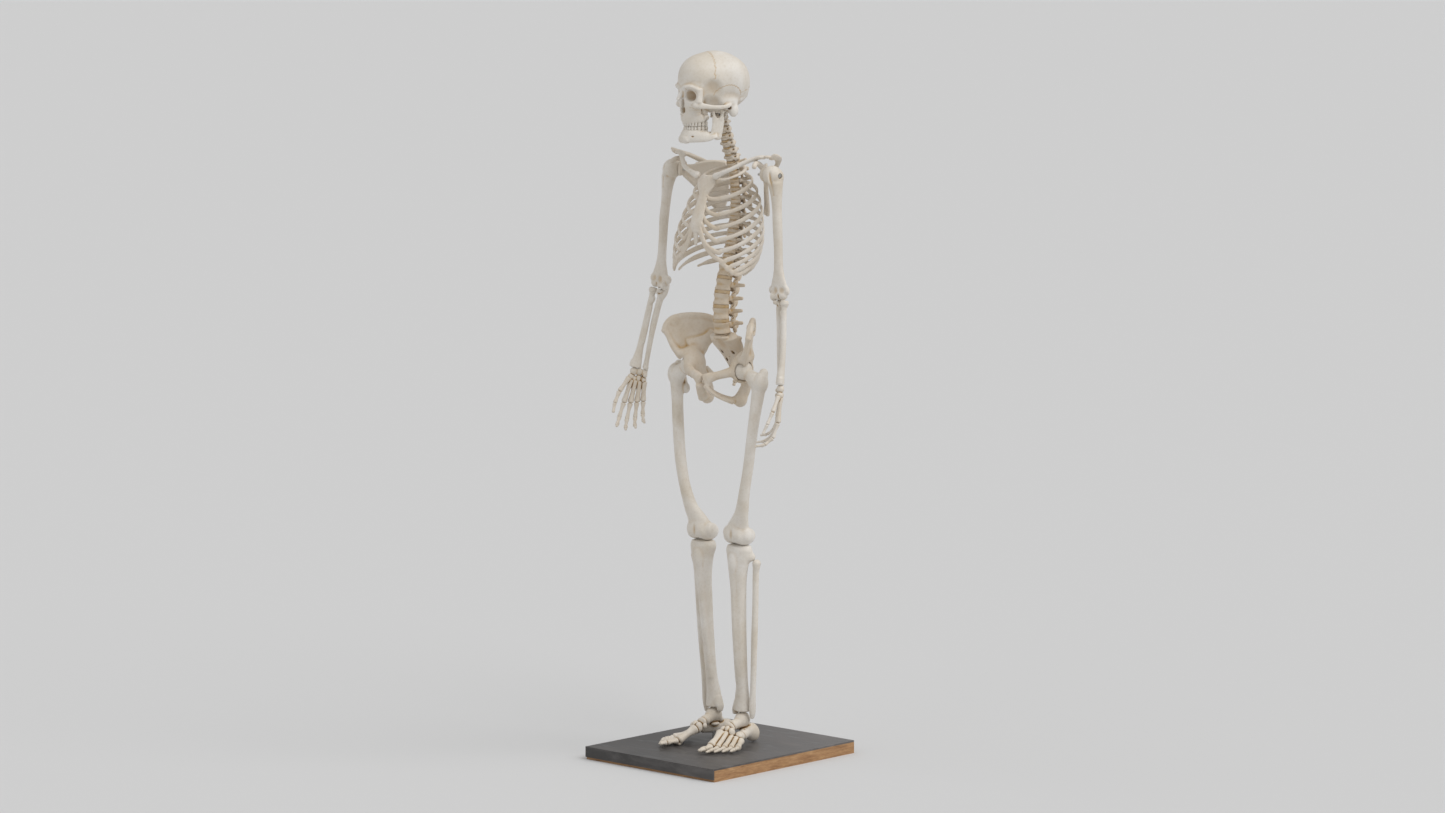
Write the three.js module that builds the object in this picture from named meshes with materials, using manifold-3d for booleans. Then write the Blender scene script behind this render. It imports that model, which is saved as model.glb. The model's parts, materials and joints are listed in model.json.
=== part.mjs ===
// Classroom human skeleton, life size, standing on a board.
// Millimetres, +Z up. The skeleton faces -Y and its left side is +X.
// The origin is the middle of the board's underside.
import * as THREE from 'three';
import { mergeVertices } from 'three/addons/utils/BufferGeometryUtils.js';
import Module from 'manifold-3d';

const wasm = await Module();
wasm.setup();

// ---- Driving dimensions -------------------------------------------------
const BOARD = { width: 428, depth: 508, thickness: 32, sheet: 4, edgeBottom: 6 };
const GAP = 0.3;            // clearance between pieces that touch
const SIDES = 8;            // facets round a long bone

// Heights are above the top of the board.
const HIP = { x: 88, y: -14, z: 930, head: 23 };
const KNEE = { x: 60, y: 0, z: 500 };
const ANKLE = { x: 48, y: 28, z: 84, toeOut: 12 };
const SHOULDER = { x: 165, y: 6, z: 1405, head: 24 };
const UPPER_ARM = 290;      // head centre to elbow
const FOREARM = 226;        // elbow to wrist
const HEAD = { y: -8, z: 1550, turn: -20 };  // where the skull sits on the neck
const JAW = { x: 50, y: -14, z: 6 };         // condyle, from the top of the neck
const ROD = { radius: 4, clearance: 0.4, steps: 10, knee: 1018, bottom: 943, foot: 46, peg: 20 };
const ARM_POSE = {
  left: { abduct: 5, elbow: 4, wrist: 4 },
  right: { abduct: 9, elbow: 10, wrist: 2 },
};
const SUPINATION = 43;      // turn of the hand out from facing the thigh
const TEETH = { upper: -20, bite: -30.5, lower: -40 };

// ---- Materials ----------------------------------------------------------
function material(color, roughness, metalness = 0) {
  return new THREE.MeshStandardMaterial({ color, roughness, metalness });
}
const IVORY = material(0xd8d2c6, 0.55);
const TAN = material(0xbfae92, 0.6);
const CARTILAGE = material(0xcfc3ac, 0.6);
const STEEL = material(0x9a9b9c, 0.35, 1);
const WOOD = material(0x9a7550, 0.6);
const LAMINATE = material(0x4a4847, 0.5);

// ---- Geometry helpers ---------------------------------------------------
const radians = THREE.MathUtils.degToRad;
const vector = (x, y, z) => new THREE.Vector3(x, y, z);
const X_AXIS = vector(1, 0, 0);

function solid(geometry) {
  const bare = geometry.clone();
  bare.deleteAttribute('normal');
  bare.deleteAttribute('uv');
  const merged = mergeVertices(bare, 1e-4);
  const vertProperties = new Float32Array(merged.attributes.position.array);
  const triVerts = new Uint32Array(merged.index.array);
  return new wasm.Manifold(new wasm.Mesh({ numProp: 3, vertProperties, triVerts }));
}

function geometryOf(body) {
  const { vertProperties, triVerts } = body.getMesh();
  const geometry = new THREE.BufferGeometry();
  geometry.setAttribute('position', new THREE.BufferAttribute(vertProperties, 3));
  geometry.setIndex(new THREE.BufferAttribute(triVerts, 1));
  return geometry;
}

// Joins any number of geometries into one solid.
function join(...geometries) {
  return geometries.map(solid).reduce((whole, piece) => whole.add(piece));
}

function cut(body, ...geometries) {
  return geometries.map(solid).reduce((whole, piece) => whole.subtract(piece), body);
}

// The same geometry on the other side of the body.
function mirrored(geometry) {
  const twin = geometry.clone().scale(-1, 1, 1);
  const index = twin.index.array;
  for (let i = 0; i < index.length; i += 3) {
    [index[i], index[i + 1]] = [index[i + 1], index[i]];
  }
  return twin;
}

function cylinder(radius, length, sides, axis, centre) {
  const geometry = new THREE.CylinderGeometry(radius, radius, length, sides);
  const turn = new THREE.Quaternion().setFromUnitVectors(vector(0, 1, 0), axis);
  return geometry.applyQuaternion(turn).translate(...centre);
}

function block(size, centre) {
  return new THREE.BoxGeometry(...size).translate(...centre);
}

function blob(centre, radii, detail = 10) {
  const geometry = new THREE.SphereGeometry(1, detail, Math.round(detail * 0.7));
  return geometry.rotateX(Math.PI / 2).scale(...radii).translate(...centre);
}

// A capped cylinder whose rings are laid along a path. Each station is
// [x, y, z, half width, half depth], and the width lies along `across`.
function limb(stations, across = X_AXIS, sides = SIDES) {
  const rings = stations.length - 1;
  const geometry = new THREE.CylinderGeometry(1, 1, 1, sides, rings);
  const frames = stations.map((station, i) => {
    const before = stations[Math.max(i - 1, 0)];
    const after = stations[Math.min(i + 1, rings)];
    const along = vector(after[0] - before[0], after[1] - before[1], after[2] - before[2]);
    along.normalize();
    const width = across.clone().addScaledVector(along, -across.dot(along)).normalize();
    const depth = vector(0, 0, 0).crossVectors(along, width);
    return { centre: vector(station[0], station[1], station[2]), width, depth };
  });
  const position = geometry.attributes.position;
  for (let i = 0; i < position.count; i += 1) {
    const ring = Math.round((0.5 - position.getY(i)) * rings);
    const { centre, width, depth } = frames[ring];
    const [, , , halfWidth, halfDepth = halfWidth] = stations[ring];
    const point = centre.clone();
    point.addScaledVector(width, position.getX(i) * halfWidth);
    point.addScaledVector(depth, position.getZ(i) * halfDepth);
    position.setXYZ(i, point.x, point.y, point.z);
  }
  return geometry;
}

// A smooth path through [x, y, z] points.
function curve(points) {
  return new THREE.CatmullRomCurve3(points.map((p) => vector(...p)));
}

function piece(name, look, body) {
  const mesh = new THREE.Mesh(geometryOf(body), look);
  mesh.name = name;
  return mesh;
}

// Builds a left bone and its mirror image.
function pair(name, look, build) {
  return ['left', 'right'].map((side) => {
    const turn = side === 'left' ? (geometry) => geometry : mirrored;
    return piece(`${name}_${side}`, look, build(turn, side));
  });
}

// ---- Board --------------------------------------------------------------
function legRodHole(radius, bottom, top) {
  const centre = [ANKLE.x, ANKLE.y, (top + bottom) / 2];
  return cylinder(radius, top - bottom, SIDES, vector(0, 0, 1), centre);
}

const ROD_HEAD = { radius: 9, depth: 10, recess: 11.5 };

function boardPieces() {
  const { width, depth, thickness, sheet, edgeBottom } = BOARD;
  const coreTop = thickness - sheet - GAP;
  const coreDepth = depth - sheet - GAP;
  const shift = (sheet + GAP) / 2;
  let core = join(block([width, coreDepth, coreTop], [0, shift, coreTop / 2]));
  const bandHeight = thickness - edgeBottom;
  const front = -depth / 2 + sheet / 2;
  let cover = join(
    block([width, depth, sheet], [0, 0, thickness - sheet / 2]),
    block([width, sheet, bandHeight], [0, front, edgeBottom + bandHeight / 2]),
  );
  const bore = ROD.radius + ROD.clearance;
  for (const turn of [(geometry) => geometry, mirrored]) {
    core = cut(core, turn(legRodHole(bore, -1, thickness)));
    core = cut(core, turn(legRodHole(ROD_HEAD.recess, -1, ROD_HEAD.depth + 2)));
    cover = cut(cover, turn(legRodHole(bore, 0, thickness + 1)));
  }
  return [piece('base_board', WOOD, core), piece('base_cover', LAMINATE, cover)];
}

const ROD_TOP = 150;

function legRods() {
  return pair('leg_rod', STEEL, (turn) => {
    const bottom = -BOARD.thickness + 1;
    return join(
      turn(legRodHole(ROD.radius, bottom, ROD_TOP)),
      turn(cylinder(ROD_HEAD.radius, ROD_HEAD.depth, 6, vector(0, 0, 1),
        [ANKLE.x, ANKLE.y, bottom + ROD_HEAD.depth / 2])),
    );
  });
}

// ---- Legs ---------------------------------------------------------------
const TOE = {
  start: { y: -22, z: 40 }, ball: { y: -92, z: 12 }, base: 38, spread: 12,
  lengths: [60, 58, 52, 46, 40],
};

// One ray of the foot: metatarsal and toe. Ray 0 is the big toe.
function footRay(ray) {
  const x = TOE.base + ray * TOE.spread * 0.8;
  const ballX = TOE.base - 8 + ray * TOE.spread * 1.25;
  const thick = ray === 0 ? 8.5 : 5.5;
  const back = ray * 7;
  const tip = TOE.ball.y - TOE.lengths[ray] + back;
  return limb([
    [x, TOE.start.y, TOE.start.z - ray * 5, thick + 1, thick + 1],
    [(x + ballX) / 2, (TOE.start.y + TOE.ball.y) / 2, 27 - ray * 3, thick * 0.7],
    [ballX, TOE.ball.y + back, thick + 2, thick + 1],
    [ballX, TOE.ball.y + back - 16, thick + 1.5, thick * 0.6],
    [ballX, tip + 22, thick + 2, thick * 0.75],
    [ballX, tip, thick * 0.6 + 1, thick * 0.6],
  ], X_AXIS, 5);
}

function feet() {
  return pair('foot', TAN, (turn) => {
    const bones = [
      blob([ANKLE.x, ANKLE.y, 64], [18, 24, 17], 8),
      blob([ANKLE.x + 2, 62, 25], [17, 30, 23.5], 8),
      limb([[48, 46, 46, 18, 16], [50, 5, 50, 23, 15], [55, -24, 38, 27, 14]]),
      limb([[56, 45, 22, 13, 13], [66, 0, 18, 12, 12], [74, -30, 16, 10, 10]]),
    ];
    for (let ray = 0; ray < 5; ray += 1) {
      bones.push(footRay(ray));
    }
    const turned = bones.map((bone) => turn(bone
      .translate(-ANKLE.x, -ANKLE.y, 0)
      .rotateZ(radians(ANKLE.toeOut))
      .translate(ANKLE.x, ANKLE.y, 0)));
    const underside = block([600, 600, 20], [0, 0, -10 + GAP]);
    return cut(join(...turned), underside,
      turn(legRodHole(ROD.radius + ROD.clearance, -5, 120)));
  });
}

function tibiae() {
  return pair('tibia', IVORY, (turn) => cut(join(
    turn(limb([
      [60, 3, 498, 36, 23], [60, 3, 482, 37, 24], [59, 2, 455, 30, 22],
      [58, 3, 415, 23, 20], [55, 12, 290, 16, 17], [51, 24, 160, 14.5, 15],
      [48, 28, 112, 20, 17], [47, 28, ANKLE.z, 21, 18],
    ])),
    turn(blob([24, 28, 84], [5.5, 12, 17], 8)),
    turn(limb([[36, 28, 104, 12, 12], [25, 28, 90, 6, 11]])),
  ), turn(legRodHole(ROD.radius + ROD.clearance, 60, ROD_TOP + 2))));
}

function fibulae() {
  return pair('fibula', IVORY, (turn) => join(
    turn(limb([
      [103, 20, 464, 7, 8], [103, 20, 450, 10.5, 11], [99, 21, 425, 8, 8.5],
      [90, 26, 270, 8, 9], [81, 31, 130, 7, 8.5], [78, 32, 96, 6, 10], [76, 32, 66, 5, 8],
    ])),
  ));
}

function femora() {
  const { x, y, z, head } = HIP;
  return pair('femur', IVORY, (turn) => join(
    turn(blob([x, y, z], [head, head, head], 9)),
    turn(limb([[x + 6, y, z - 2, 14, 14], [x + 46, y + 3, z - 26, 17, 19]],
      vector(0, 1, 0))),
    turn(blob([x + 59, y + 6, z - 18], [15, 20, 28], 8)),
    turn(blob([x + 34, y + 16, z - 62], [11, 11, 14], 6)),
    turn(limb([
      [x + 52, y + 4, z - 22, 20, 18], [x + 45, y + 2, z - 90, 15, 15],
      [x + 26, y - 8, 690, 13, 14], [x - 2, y - 2, 585, 16, 15],
      [KNEE.x + 5, KNEE.y - 6, 545, 28, 19], [KNEE.x, KNEE.y - 6, 520, 37, 24],
    ])),
    turn(blob([KNEE.x - 20, KNEE.y + 3, 521], [18, 32, 21.5], 7)),
    turn(blob([KNEE.x + 20, KNEE.y + 3, 521], [18, 32, 21.5], 7)),
  ));
}

// ---- Pelvis -------------------------------------------------------------
function sacrumBody(extra) {
  return limb([
    [0, 10, 1009, 46 + extra, 20 + extra], [0, 24, 990, 47 + extra, 20 + extra],
    [0, 44, 960, 37 + extra, 14 + extra], [0, 56, 928, 21 + extra, 9 + extra],
    [0, 58, 907, 10 + extra, 7 + extra], [0, 50, 888, 5 + extra, 4 + extra],
  ]);
}

function hipBones() {
  const { x, y, z, head } = HIP;
  const blade = vector(0.77, 0.63, 0);
  return pair('hip_bone', TAN, (turn) => cut(join(
    turn(limb([
      [98, -2, 1054, 5, 44], [100, 0, 1047, 7, 62], [98, 2, 1032, 5.5, 73],
      [94, 6, 1010, 5, 74], [88, 10, 988, 6, 62], [83, 6, 964, 10, 42],
      [82, -4, 940, 16, 30],
    ], blade, 10)),
    turn(blob([x - 10, y + 4, z], [24, 33, 34])),
    turn(limb([
      [x - 16, y - 14, z - 2, 12, 14], [40, -50, 918, 10, 11],
      [16, -60, 908, 10, 16], [2, -62, 902, 8, 20],
    ], vector(0, 1, 0))),
    turn(limb([[8, -60, 890, 8, 12], [28, -36, 866, 7, 12], [48, -6, 850, 9, 13]],
      vector(0.6, 0.6, 0))),
    turn(limb([[76, 6, 912, 16, 18], [62, 20, 880, 14, 16], [54, 10, 850, 12, 18]])),
    turn(limb([[74, 30, 915, 6, 8], [60, 42, 902, 4, 5]])),
  ),
  turn(blob([x, y, z], [head + 1.4, head + 1.4, head + 1.4])),
  turn(limb([[x + 4, y, z - 3, 23, 23], [x + 40, y + 2, z - 22, 30, 30]],
    vector(0, 1, 0))),
  sacrumBody(1.2),
  turn(block([21, 60, 80], [-9.5, -60, 910]))));
}

// ---- Spine --------------------------------------------------------------
// The path of the vertebral bodies, from the top of the sacrum to the skull.
const SPINE_PATH = curve([
  [0, 8, 1010], [0, 3, 1050], [0, 5, 1098], [0, 19, 1160], [0, 38, 1225],
  [0, 54, 1305], [0, 52, 1370], [0, 40, 1420], [0, 22, 1470], [0, 2, 1520],
  [0, HEAD.y, HEAD.z - 2],
]);
const SPINE_STEPS = 240;

// The point of the spine's path at a height.
function spineAt(z) {
  let best = SPINE_PATH.getPoint(0);
  for (let i = 1; i <= SPINE_STEPS; i += 1) {
    const point = SPINE_PATH.getPoint(i / SPINE_STEPS);
    if (Math.abs(point.z - z) < Math.abs(best.z - z)) {
      best = point;
    }
  }
  return vector(0, best.y, z);
}

const SPINE = {
  neck: { bottom: 1429, top: HEAD.z - 1.2, count: 7, body: [11, 9], wing: 21, spine: 26, drop: 4 },
  chest: { bottom: 1182, top: 1428, count: 12, body: [15, 13], wing: 28, spine: 34, drop: 22 },
  waist: { bottom: 1010, top: 1181, count: 5, body: [23, 17], wing: 42, spine: 40, drop: 2 },
};

// The column of bodies and discs: wide at each vertebra, waisted at its middle.
function spineColumn({ bottom, top, count, body }) {
  const stations = [];
  for (let i = 0; i <= 2 * count; i += 1) {
    const point = spineAt(top + ((bottom - top) * i) / (2 * count));
    const swell = i % 2 === 0 ? 1.06 : 0.92;
    stations.push([0, point.y, point.z, body[0] * swell, body[1] * swell]);
  }
  return limb(stations);
}

// The wings and the spine of one vertebra.
function processes(section, z) {
  const { body, wing, spine, drop } = section;
  const lift = ((section.top - section.bottom) / section.count) * 0.45;
  const back = spineAt(z).y + body[1];
  return [
    limb([[-wing, back + 11, z + lift, 3.2], [0, back + 3, z + lift * 0.8, 4.6],
      [wing, back + 11, z + lift, 3.2]], vector(0, 1, 0), 4),
    limb([[0, back - 2, z + 2, 5, 4], [0, back + spine - 8, z - drop, 3.4, 4.4]],
      X_AXIS, 4),
  ];
}

function spineSection(section) {
  const { bottom, top, count } = section;
  const pitch = (top - bottom) / count;
  const pieces = [spineColumn(section)];
  for (let i = 0; i < count; i += 1) {
    pieces.push(...processes(section, bottom + pitch * (i + 0.5)));
  }
  const above = block([200, 200, 40], [0, 0, top + 20]);
  const below = block([200, 200, 40], [0, 0, bottom - 20 + GAP]);
  return cut(join(...pieces), above, below, spineRod(ROD.clearance));
}

// The rod that the spine is threaded on, from the sacrum into the skull.
function spineRod(extra) {
  const { steps, bottom, knee } = ROD;
  const radius = ROD.radius + extra;
  const stations = [[0, HEAD.y, HEAD.z + ROD.peg + extra, radius], [0, HEAD.y, HEAD.z, radius]];
  for (let i = 1; i < steps; i += 1) {
    const z = HEAD.z + ((knee - HEAD.z) * i) / steps;
    stations.push([0, spineAt(z).y, z, radius]);
  }
  stations.push([0, spineAt(knee).y, knee, radius]);
  stations.push([0, ROD.foot, bottom - extra, radius]);
  return limb(stations);
}

function spinePieces() {
  const channel = spineRod(ROD.clearance);
  const above = block([120, 60, 20], [0, 8, SPINE.waist.bottom + 9]);
  return [
    piece('sacrum', TAN, cut(join(sacrumBody(0)), channel, above)),
    piece('lumbar_spine', TAN, spineSection(SPINE.waist)),
    piece('thoracic_spine', TAN, spineSection(SPINE.chest)),
    piece('cervical_spine', TAN, spineSection(SPINE.neck)),
    piece('spine_rod', STEEL, join(spineRod(0))),
  ];
}

// ---- Rib cage -----------------------------------------------------------
// For each rib: half breadth of the cage, fall from back to front,
// and how far from the midline its front end lies.
const RIBS = [
  { reach: 52, fall: 32, end: 32 }, { reach: 78, fall: 55, end: 40 },
  { reach: 96, fall: 72, end: 46 }, { reach: 108, fall: 84, end: 52 },
  { reach: 117, fall: 94, end: 60 }, { reach: 123, fall: 102, end: 70 },
  { reach: 127, fall: 106, end: 82 }, { reach: 128, fall: 104, end: 94 },
  { reach: 126, fall: 98, end: 104 }, { reach: 121, fall: 88, end: 110 },
  { reach: 110, fall: 78, sweep: 104 }, { reach: 92, fall: 70, sweep: 66 },
];
const CAGE = { start: 19, backset: 24, front: [-42, -88], blade: [2.6, 5.6] };
const RIB_STATIONS = 9;

// The middle of a rib at an angle from the spine (0) round to the front (180).
function ribPoint(index, degrees) {
  const { reach, fall } = RIBS[index];
  const { bottom, top, count } = SPINE.chest;
  const z = top - ((top - bottom) * (index + 0.5)) / count - 1;
  const back = spineAt(z).y + CAGE.backset;
  const front = THREE.MathUtils.lerp(...CAGE.front, Math.min(index / 5, 1));
  const middle = (back + front) / 2;
  const half = (back - front) / 2;
  const angle = radians(degrees);
  return vector(reach * Math.sin(angle), middle + half * Math.cos(angle),
    z - (fall * (1 - Math.cos(angle))) / 2);
}

function ribSweep(index) {
  const { reach, end, sweep } = RIBS[index];
  const first = THREE.MathUtils.radToDeg(Math.asin(CAGE.start / reach));
  const last = sweep ?? 180 - THREE.MathUtils.radToDeg(Math.asin(end / reach));
  return [first, last];
}

function ribs() {
  const pieces = [];
  RIBS.forEach((rib, index) => {
    const [first, last] = ribSweep(index);
    const stations = [];
    for (let i = 0; i < RIB_STATIONS; i += 1) {
      const t = i / (RIB_STATIONS - 1);
      const point = ribPoint(index, first + (last - first) * t);
      const swell = 0.72 + 0.28 * Math.sin(Math.PI * t);
      stations.push([point.x, point.y, point.z, CAGE.blade[1] * swell, CAGE.blade[0]]);
    }
    pieces.push(...pair(`rib_${String(index + 1).padStart(2, '0')}`, IVORY,
      (turn) => join(turn(limb(stations, vector(0, 0, 1), 5)))));
  });
  return pieces;
}

const STERNUM = curve([[0, -44, 1396], [0, -60, 1350], [0, -84, 1285], [0, -86, 1232]]);
const SEATS = [0.12, 0.28, 0.42, 0.54, 0.65, 0.74, 0.8];

// Cartilage from the front end of a true rib to its seat on the breastbone.
function cartilage(index) {
  const last = ribSweep(index)[1];
  const tip = ribPoint(index, last);
  const along = tip.clone().sub(ribPoint(index, last - 4)).normalize();
  const start = tip.clone().addScaledVector(along, 1);
  const next = tip.clone().addScaledVector(along, 9);
  const seat = STERNUM.getPoint(SEATS[index]);
  const dip = index > 4 ? 10 : 2;
  return limb([
    [start.x, start.y, start.z, 4.6, 2.8], [next.x, next.y, next.z, 4.8, 3],
    [(next.x + seat.x) / 2, (next.y + seat.y) / 2 - 3, (next.z + seat.z) / 2 - dip, 4.8, 3],
    [seat.x + 8, seat.y, seat.z, 4.4, 3],
  ], vector(0, 0, 1), 4);
}

// Cartilage of ribs 8 to 10, which run up to join the one above.
function marginCartilage(index) {
  const last = ribSweep(index)[1];
  const tip = ribPoint(index, last);
  const along = tip.clone().sub(ribPoint(index, last - 4)).normalize();
  const start = tip.clone().addScaledVector(along, 1);
  const next = tip.clone().addScaledVector(along, 8);
  const above = ribPoint(index - 1, ribSweep(index - 1)[1]);
  const before = ribPoint(index - 1, ribSweep(index - 1)[1] - 4);
  const target = above.clone().addScaledVector(above.clone().sub(before).normalize(), 14);
  return limb([
    [start.x, start.y, start.z, 4.4, 2.8], [next.x, next.y, next.z, 4.6, 3],
    [target.x, target.y, target.z, 4.4, 3],
  ], vector(0, 0, 1), 4);
}

function breastbone() {
  const stations = [[0, 25, 8], [0.14, 27, 7], [0.26, 13, 5.5], [0.3, 13, 5.5],
    [0.5, 17, 5.5], [0.72, 19, 5], [0.82, 9, 4.5], [1, 4.5, 3]];
  const plate = limb(stations.map(([t, halfWidth, halfDepth]) => {
    const point = STERNUM.getPoint(t);
    return [point.x, point.y, point.z, halfWidth, halfDepth];
  }));
  const pieces = [plate];
  for (const turn of [(geometry) => geometry, mirrored]) {
    SEATS.forEach((seat, index) => pieces.push(turn(cartilage(index))));
    [7, 8, 9].forEach((index) => pieces.push(turn(marginCartilage(index))));
  }
  return piece('sternum_with_cartilage', CARTILAGE, join(...pieces));
}

// ---- Shoulders ----------------------------------------------------------
function clavicles() {
  return pair('clavicle', IVORY, (turn) => join(turn(limb([
    [30, -48, 1399, 10, 8], [44, -50, 1404, 7, 6.5], [74, -46, 1417, 6, 6],
    [104, -24, 1434, 6, 6.5], [128, -4, 1446, 10, 5], [141, 2, 1447, 11, 5],
  ], vector(0, 1, 0)))));
}

function shoulderBolt(radius, from, to) {
  const centre = [SHOULDER.x + (from + to) / 2, SHOULDER.y, SHOULDER.z];
  return cylinder(radius, to - from, SIDES, X_AXIS, centre);
}

const BOLT = { radius: 3, inner: -45, outer: 21, head: 5, headDepth: 4, recess: 5.8 };

function scapulae() {
  const { x, y, z, head } = SHOULDER;
  return pair('scapula', IVORY, (turn) => cut(join(
    turn(limb([
      [x - 26, y + 1, z, 13, 17], [x - 38, y + 12, z - 2, 6, 13],
      [108, 54, 1388, 3, 34], [80, 80, 1364, 2.6, 64], [66, 90, 1362, 2.4, 60],
    ], vector(0.62, 0.78, 0))),
    turn(limb([
      [74, 91, 1392, 3, 3], [104, 78, 1412, 9, 3.5], [140, 54, 1432, 11, 5],
      [162, 28, 1446, 10, 6], [166, 6, 1449, 11, 5],
    ], vector(0.3, 0.9, 0))),
    turn(limb([[106, 60, 1398, 4, 10], [106, 74, 1412, 4, 6]])),
    turn(limb([[x - 32, y + 4, z + 10, 7, 7], [x - 36, y - 18, z + 26, 6, 6],
      [x - 26, y - 36, z + 18, 5, 5]])),
  ),
  turn(blob([x, y, z], [head + 1.4, head + 1.4, head + 1.4], 14)),
  turn(shoulderBolt(BOLT.radius + ROD.clearance, BOLT.inner - 2, BOLT.outer))));
}

function shoulderBolts() {
  const { radius, inner, outer, head, headDepth } = BOLT;
  return pair('shoulder_bolt', STEEL, (turn) => join(
    turn(shoulderBolt(radius, inner, outer)),
    turn(shoulderBolt(head, outer - GAP, outer + headDepth)),
  ));
}

// ---- Arms, each built hanging straight down from its own joint ----------
function humerus(turn) {
  const { head } = SHOULDER;
  const end = UPPER_ARM;
  return join(
    turn(blob([0, 0, 0], [head, head, head], 12)),
    turn(blob([14, 0, -4], [15, 19, 21])),
    turn(limb([
      [12, 0, -8, 18, 19], [11, 0, -36, 15, 15], [8, 0, -80, 11.5, 12],
      [4, 0, -180, 10, 11], [1, 0, -end + 52, 13, 9], [1, -1, -end + 24, 27, 5.5],
      [1, -1, -end + 6, 26, 5],
    ])),
    turn(cylinder(10.5, 46, 10, X_AXIS, [3, 0, -end])),
  );
}

// Turns the stations of a forearm bone out, more and more towards the wrist.
function supinated(stations) {
  const start = -30;
  const finish = -FOREARM + 26;
  return stations.map(([x, y, z, ...size]) => {
    const share = THREE.MathUtils.clamp((z - start) / (finish - start), 0, 1);
    const point = vector(x, y, z).applyAxisAngle(vector(0, 0, 1), radians(SUPINATION) * share);
    return [point.x, point.y, z, ...size];
  });
}

const WRIST_ACROSS = vector(0.9, 0.43, 0);

function ulna(turn) {
  return cut(join(
    turn(blob([-9, 14, -6], [10, 13, 20])),
    turn(limb(supinated([[-9, 2, -18, 9, 11], [-8, 6, -36, 8, 9], [-7, 8, -80, 6.5, 7],
      [-5, 10, -150, 6, 6.5], [-4, 14, -196, 6.5, 6.5], [-4, 14, -FOREARM + 15, 7, 7]]),
    WRIST_ACROSS)),
  ),
  turn(cylinder(11.8, 90, 14, X_AXIS, [0, 0, 0])),
  turn(block([90, 60, 60], [0, -30, 22])));
}

function radius(turn) {
  return join(turn(limb(supinated([
    [15, 0, -13.5, 9.5, 9.5], [15, 0, -20, 10, 10], [14, -1, -30, 6.5, 6.5],
    [12, -2, -46, 7.5, 7.5], [10, -6, -110, 7, 7.5], [2, -10, -180, 8, 10],
    [-3, -10, -FOREARM + 24, 10, 14], [-3, -9, -FOREARM + 14, 9, 14],
  ]), WRIST_ACROSS)));
}

// Lengths of the metacarpal and the finger, index to little.
const FINGERS = [
  { palm: 64, finger: 84 }, { palm: 62, finger: 92 },
  { palm: 57, finger: 86 }, { palm: 52, finger: 70 },
];
const FINGER_BEND = [16, 34, 30];
const FINGER_SHARES = [0.46, 0.3, 0.24];

function finger(index) {
  const { palm, finger: length } = FINGERS[index];
  const base = -15 + index * 10.5;
  const fan = -8 + index * 5.5;
  const knuckle = vector(-3, base + Math.sin(radians(fan)) * palm, -14 - palm);
  const stations = [
    [0, base, -10, 6.5, 6.5],
    [-1, (base + knuckle.y) / 2, -14 - palm / 2, 4.4, 4.4],
    [knuckle.x, knuckle.y, knuckle.z, 6.8, 6.8],
  ];
  const point = knuckle.clone();
  let bend = 0;
  FINGER_SHARES.forEach((share, joint) => {
    bend += FINGER_BEND[joint];
    const step = length * share;
    const aim = vector(-Math.sin(radians(bend)), Math.sin(radians(fan)), -Math.cos(radians(bend)));
    const waist = point.clone().addScaledVector(aim, step * 0.5);
    point.addScaledVector(aim, step);
    const thick = 5.8 - joint * 0.8;
    stations.push([waist.x, waist.y, waist.z, thick * 0.68, thick * 0.68]);
    stations.push([point.x, point.y, point.z, thick * (joint < 2 ? 1 : 0.6)]);
  });
  return limb(stations, vector(0, 1, 0), 5);
}

function hand(turn) {
  const bones = [
    cylinder(11.5, 42, 10, vector(0, 1, 0), [0, 0, 0]).scale(0.9, 1, 1),
    limb([[0, 0, -2, 22, 9], [0, 0, -16, 24, 9]], vector(0, 1, 0)),
    limb([[-2, -17, -8, 7, 7], [-12, -32, -34, 5, 5], [-20, -41, -54, 6.4, 6.4],
      [-27, -45, -70, 4.4, 4.4], [-32, -47, -84, 5.4, 5.4], [-40, -46, -106, 3.6, 3.6]]),
  ];
  FINGERS.forEach((unused, index) => bones.push(finger(index)));
  return join(...bones.map(turn));
}

function arm(side) {
  const pose = ARM_POSE[side];
  const sign = side === 'left' ? 1 : -1;
  const turn = side === 'left' ? (geometry) => geometry : mirrored;
  const { outer, recess } = BOLT;
  const bores = [
    cylinder(BOLT.radius + ROD.clearance, 200, SIDES, X_AXIS, [0, 0, 0]),
    cylinder(recess, 60, SIDES, X_AXIS, [outer - 1 + 30, 0, 0]),
  ].map((bore) => turn(bore).rotateY(radians(pose.abduct) * sign));

  const shoulder = new THREE.Group();
  shoulder.name = `shoulder_${side}`;
  shoulder.position.set(sign * SHOULDER.x, SHOULDER.y, SHOULDER.z);
  shoulder.rotation.y = radians(-pose.abduct) * sign;
  const bolted = cut(humerus(turn), ...bores);
  shoulder.add(piece(`humerus_${side}`, IVORY, bolted));

  const elbow = new THREE.Group();
  elbow.name = `elbow_${side}`;
  elbow.position.z = -UPPER_ARM;
  elbow.rotation.x = radians(-pose.elbow);
  shoulder.add(elbow);
  elbow.add(piece(`ulna_${side}`, IVORY, ulna(turn)));
  elbow.add(piece(`radius_${side}`, IVORY, radius(turn)));

  const wrist = new THREE.Group();
  wrist.name = `wrist_${side}`;
  wrist.position.set(sign * -3, 0, -FOREARM);
  wrist.rotation.set(0, radians(pose.wrist) * sign, radians(SUPINATION) * sign);
  elbow.add(wrist);
  wrist.add(piece(`hand_${side}`, TAN, hand(turn)));
  return shoulder;
}

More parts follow.
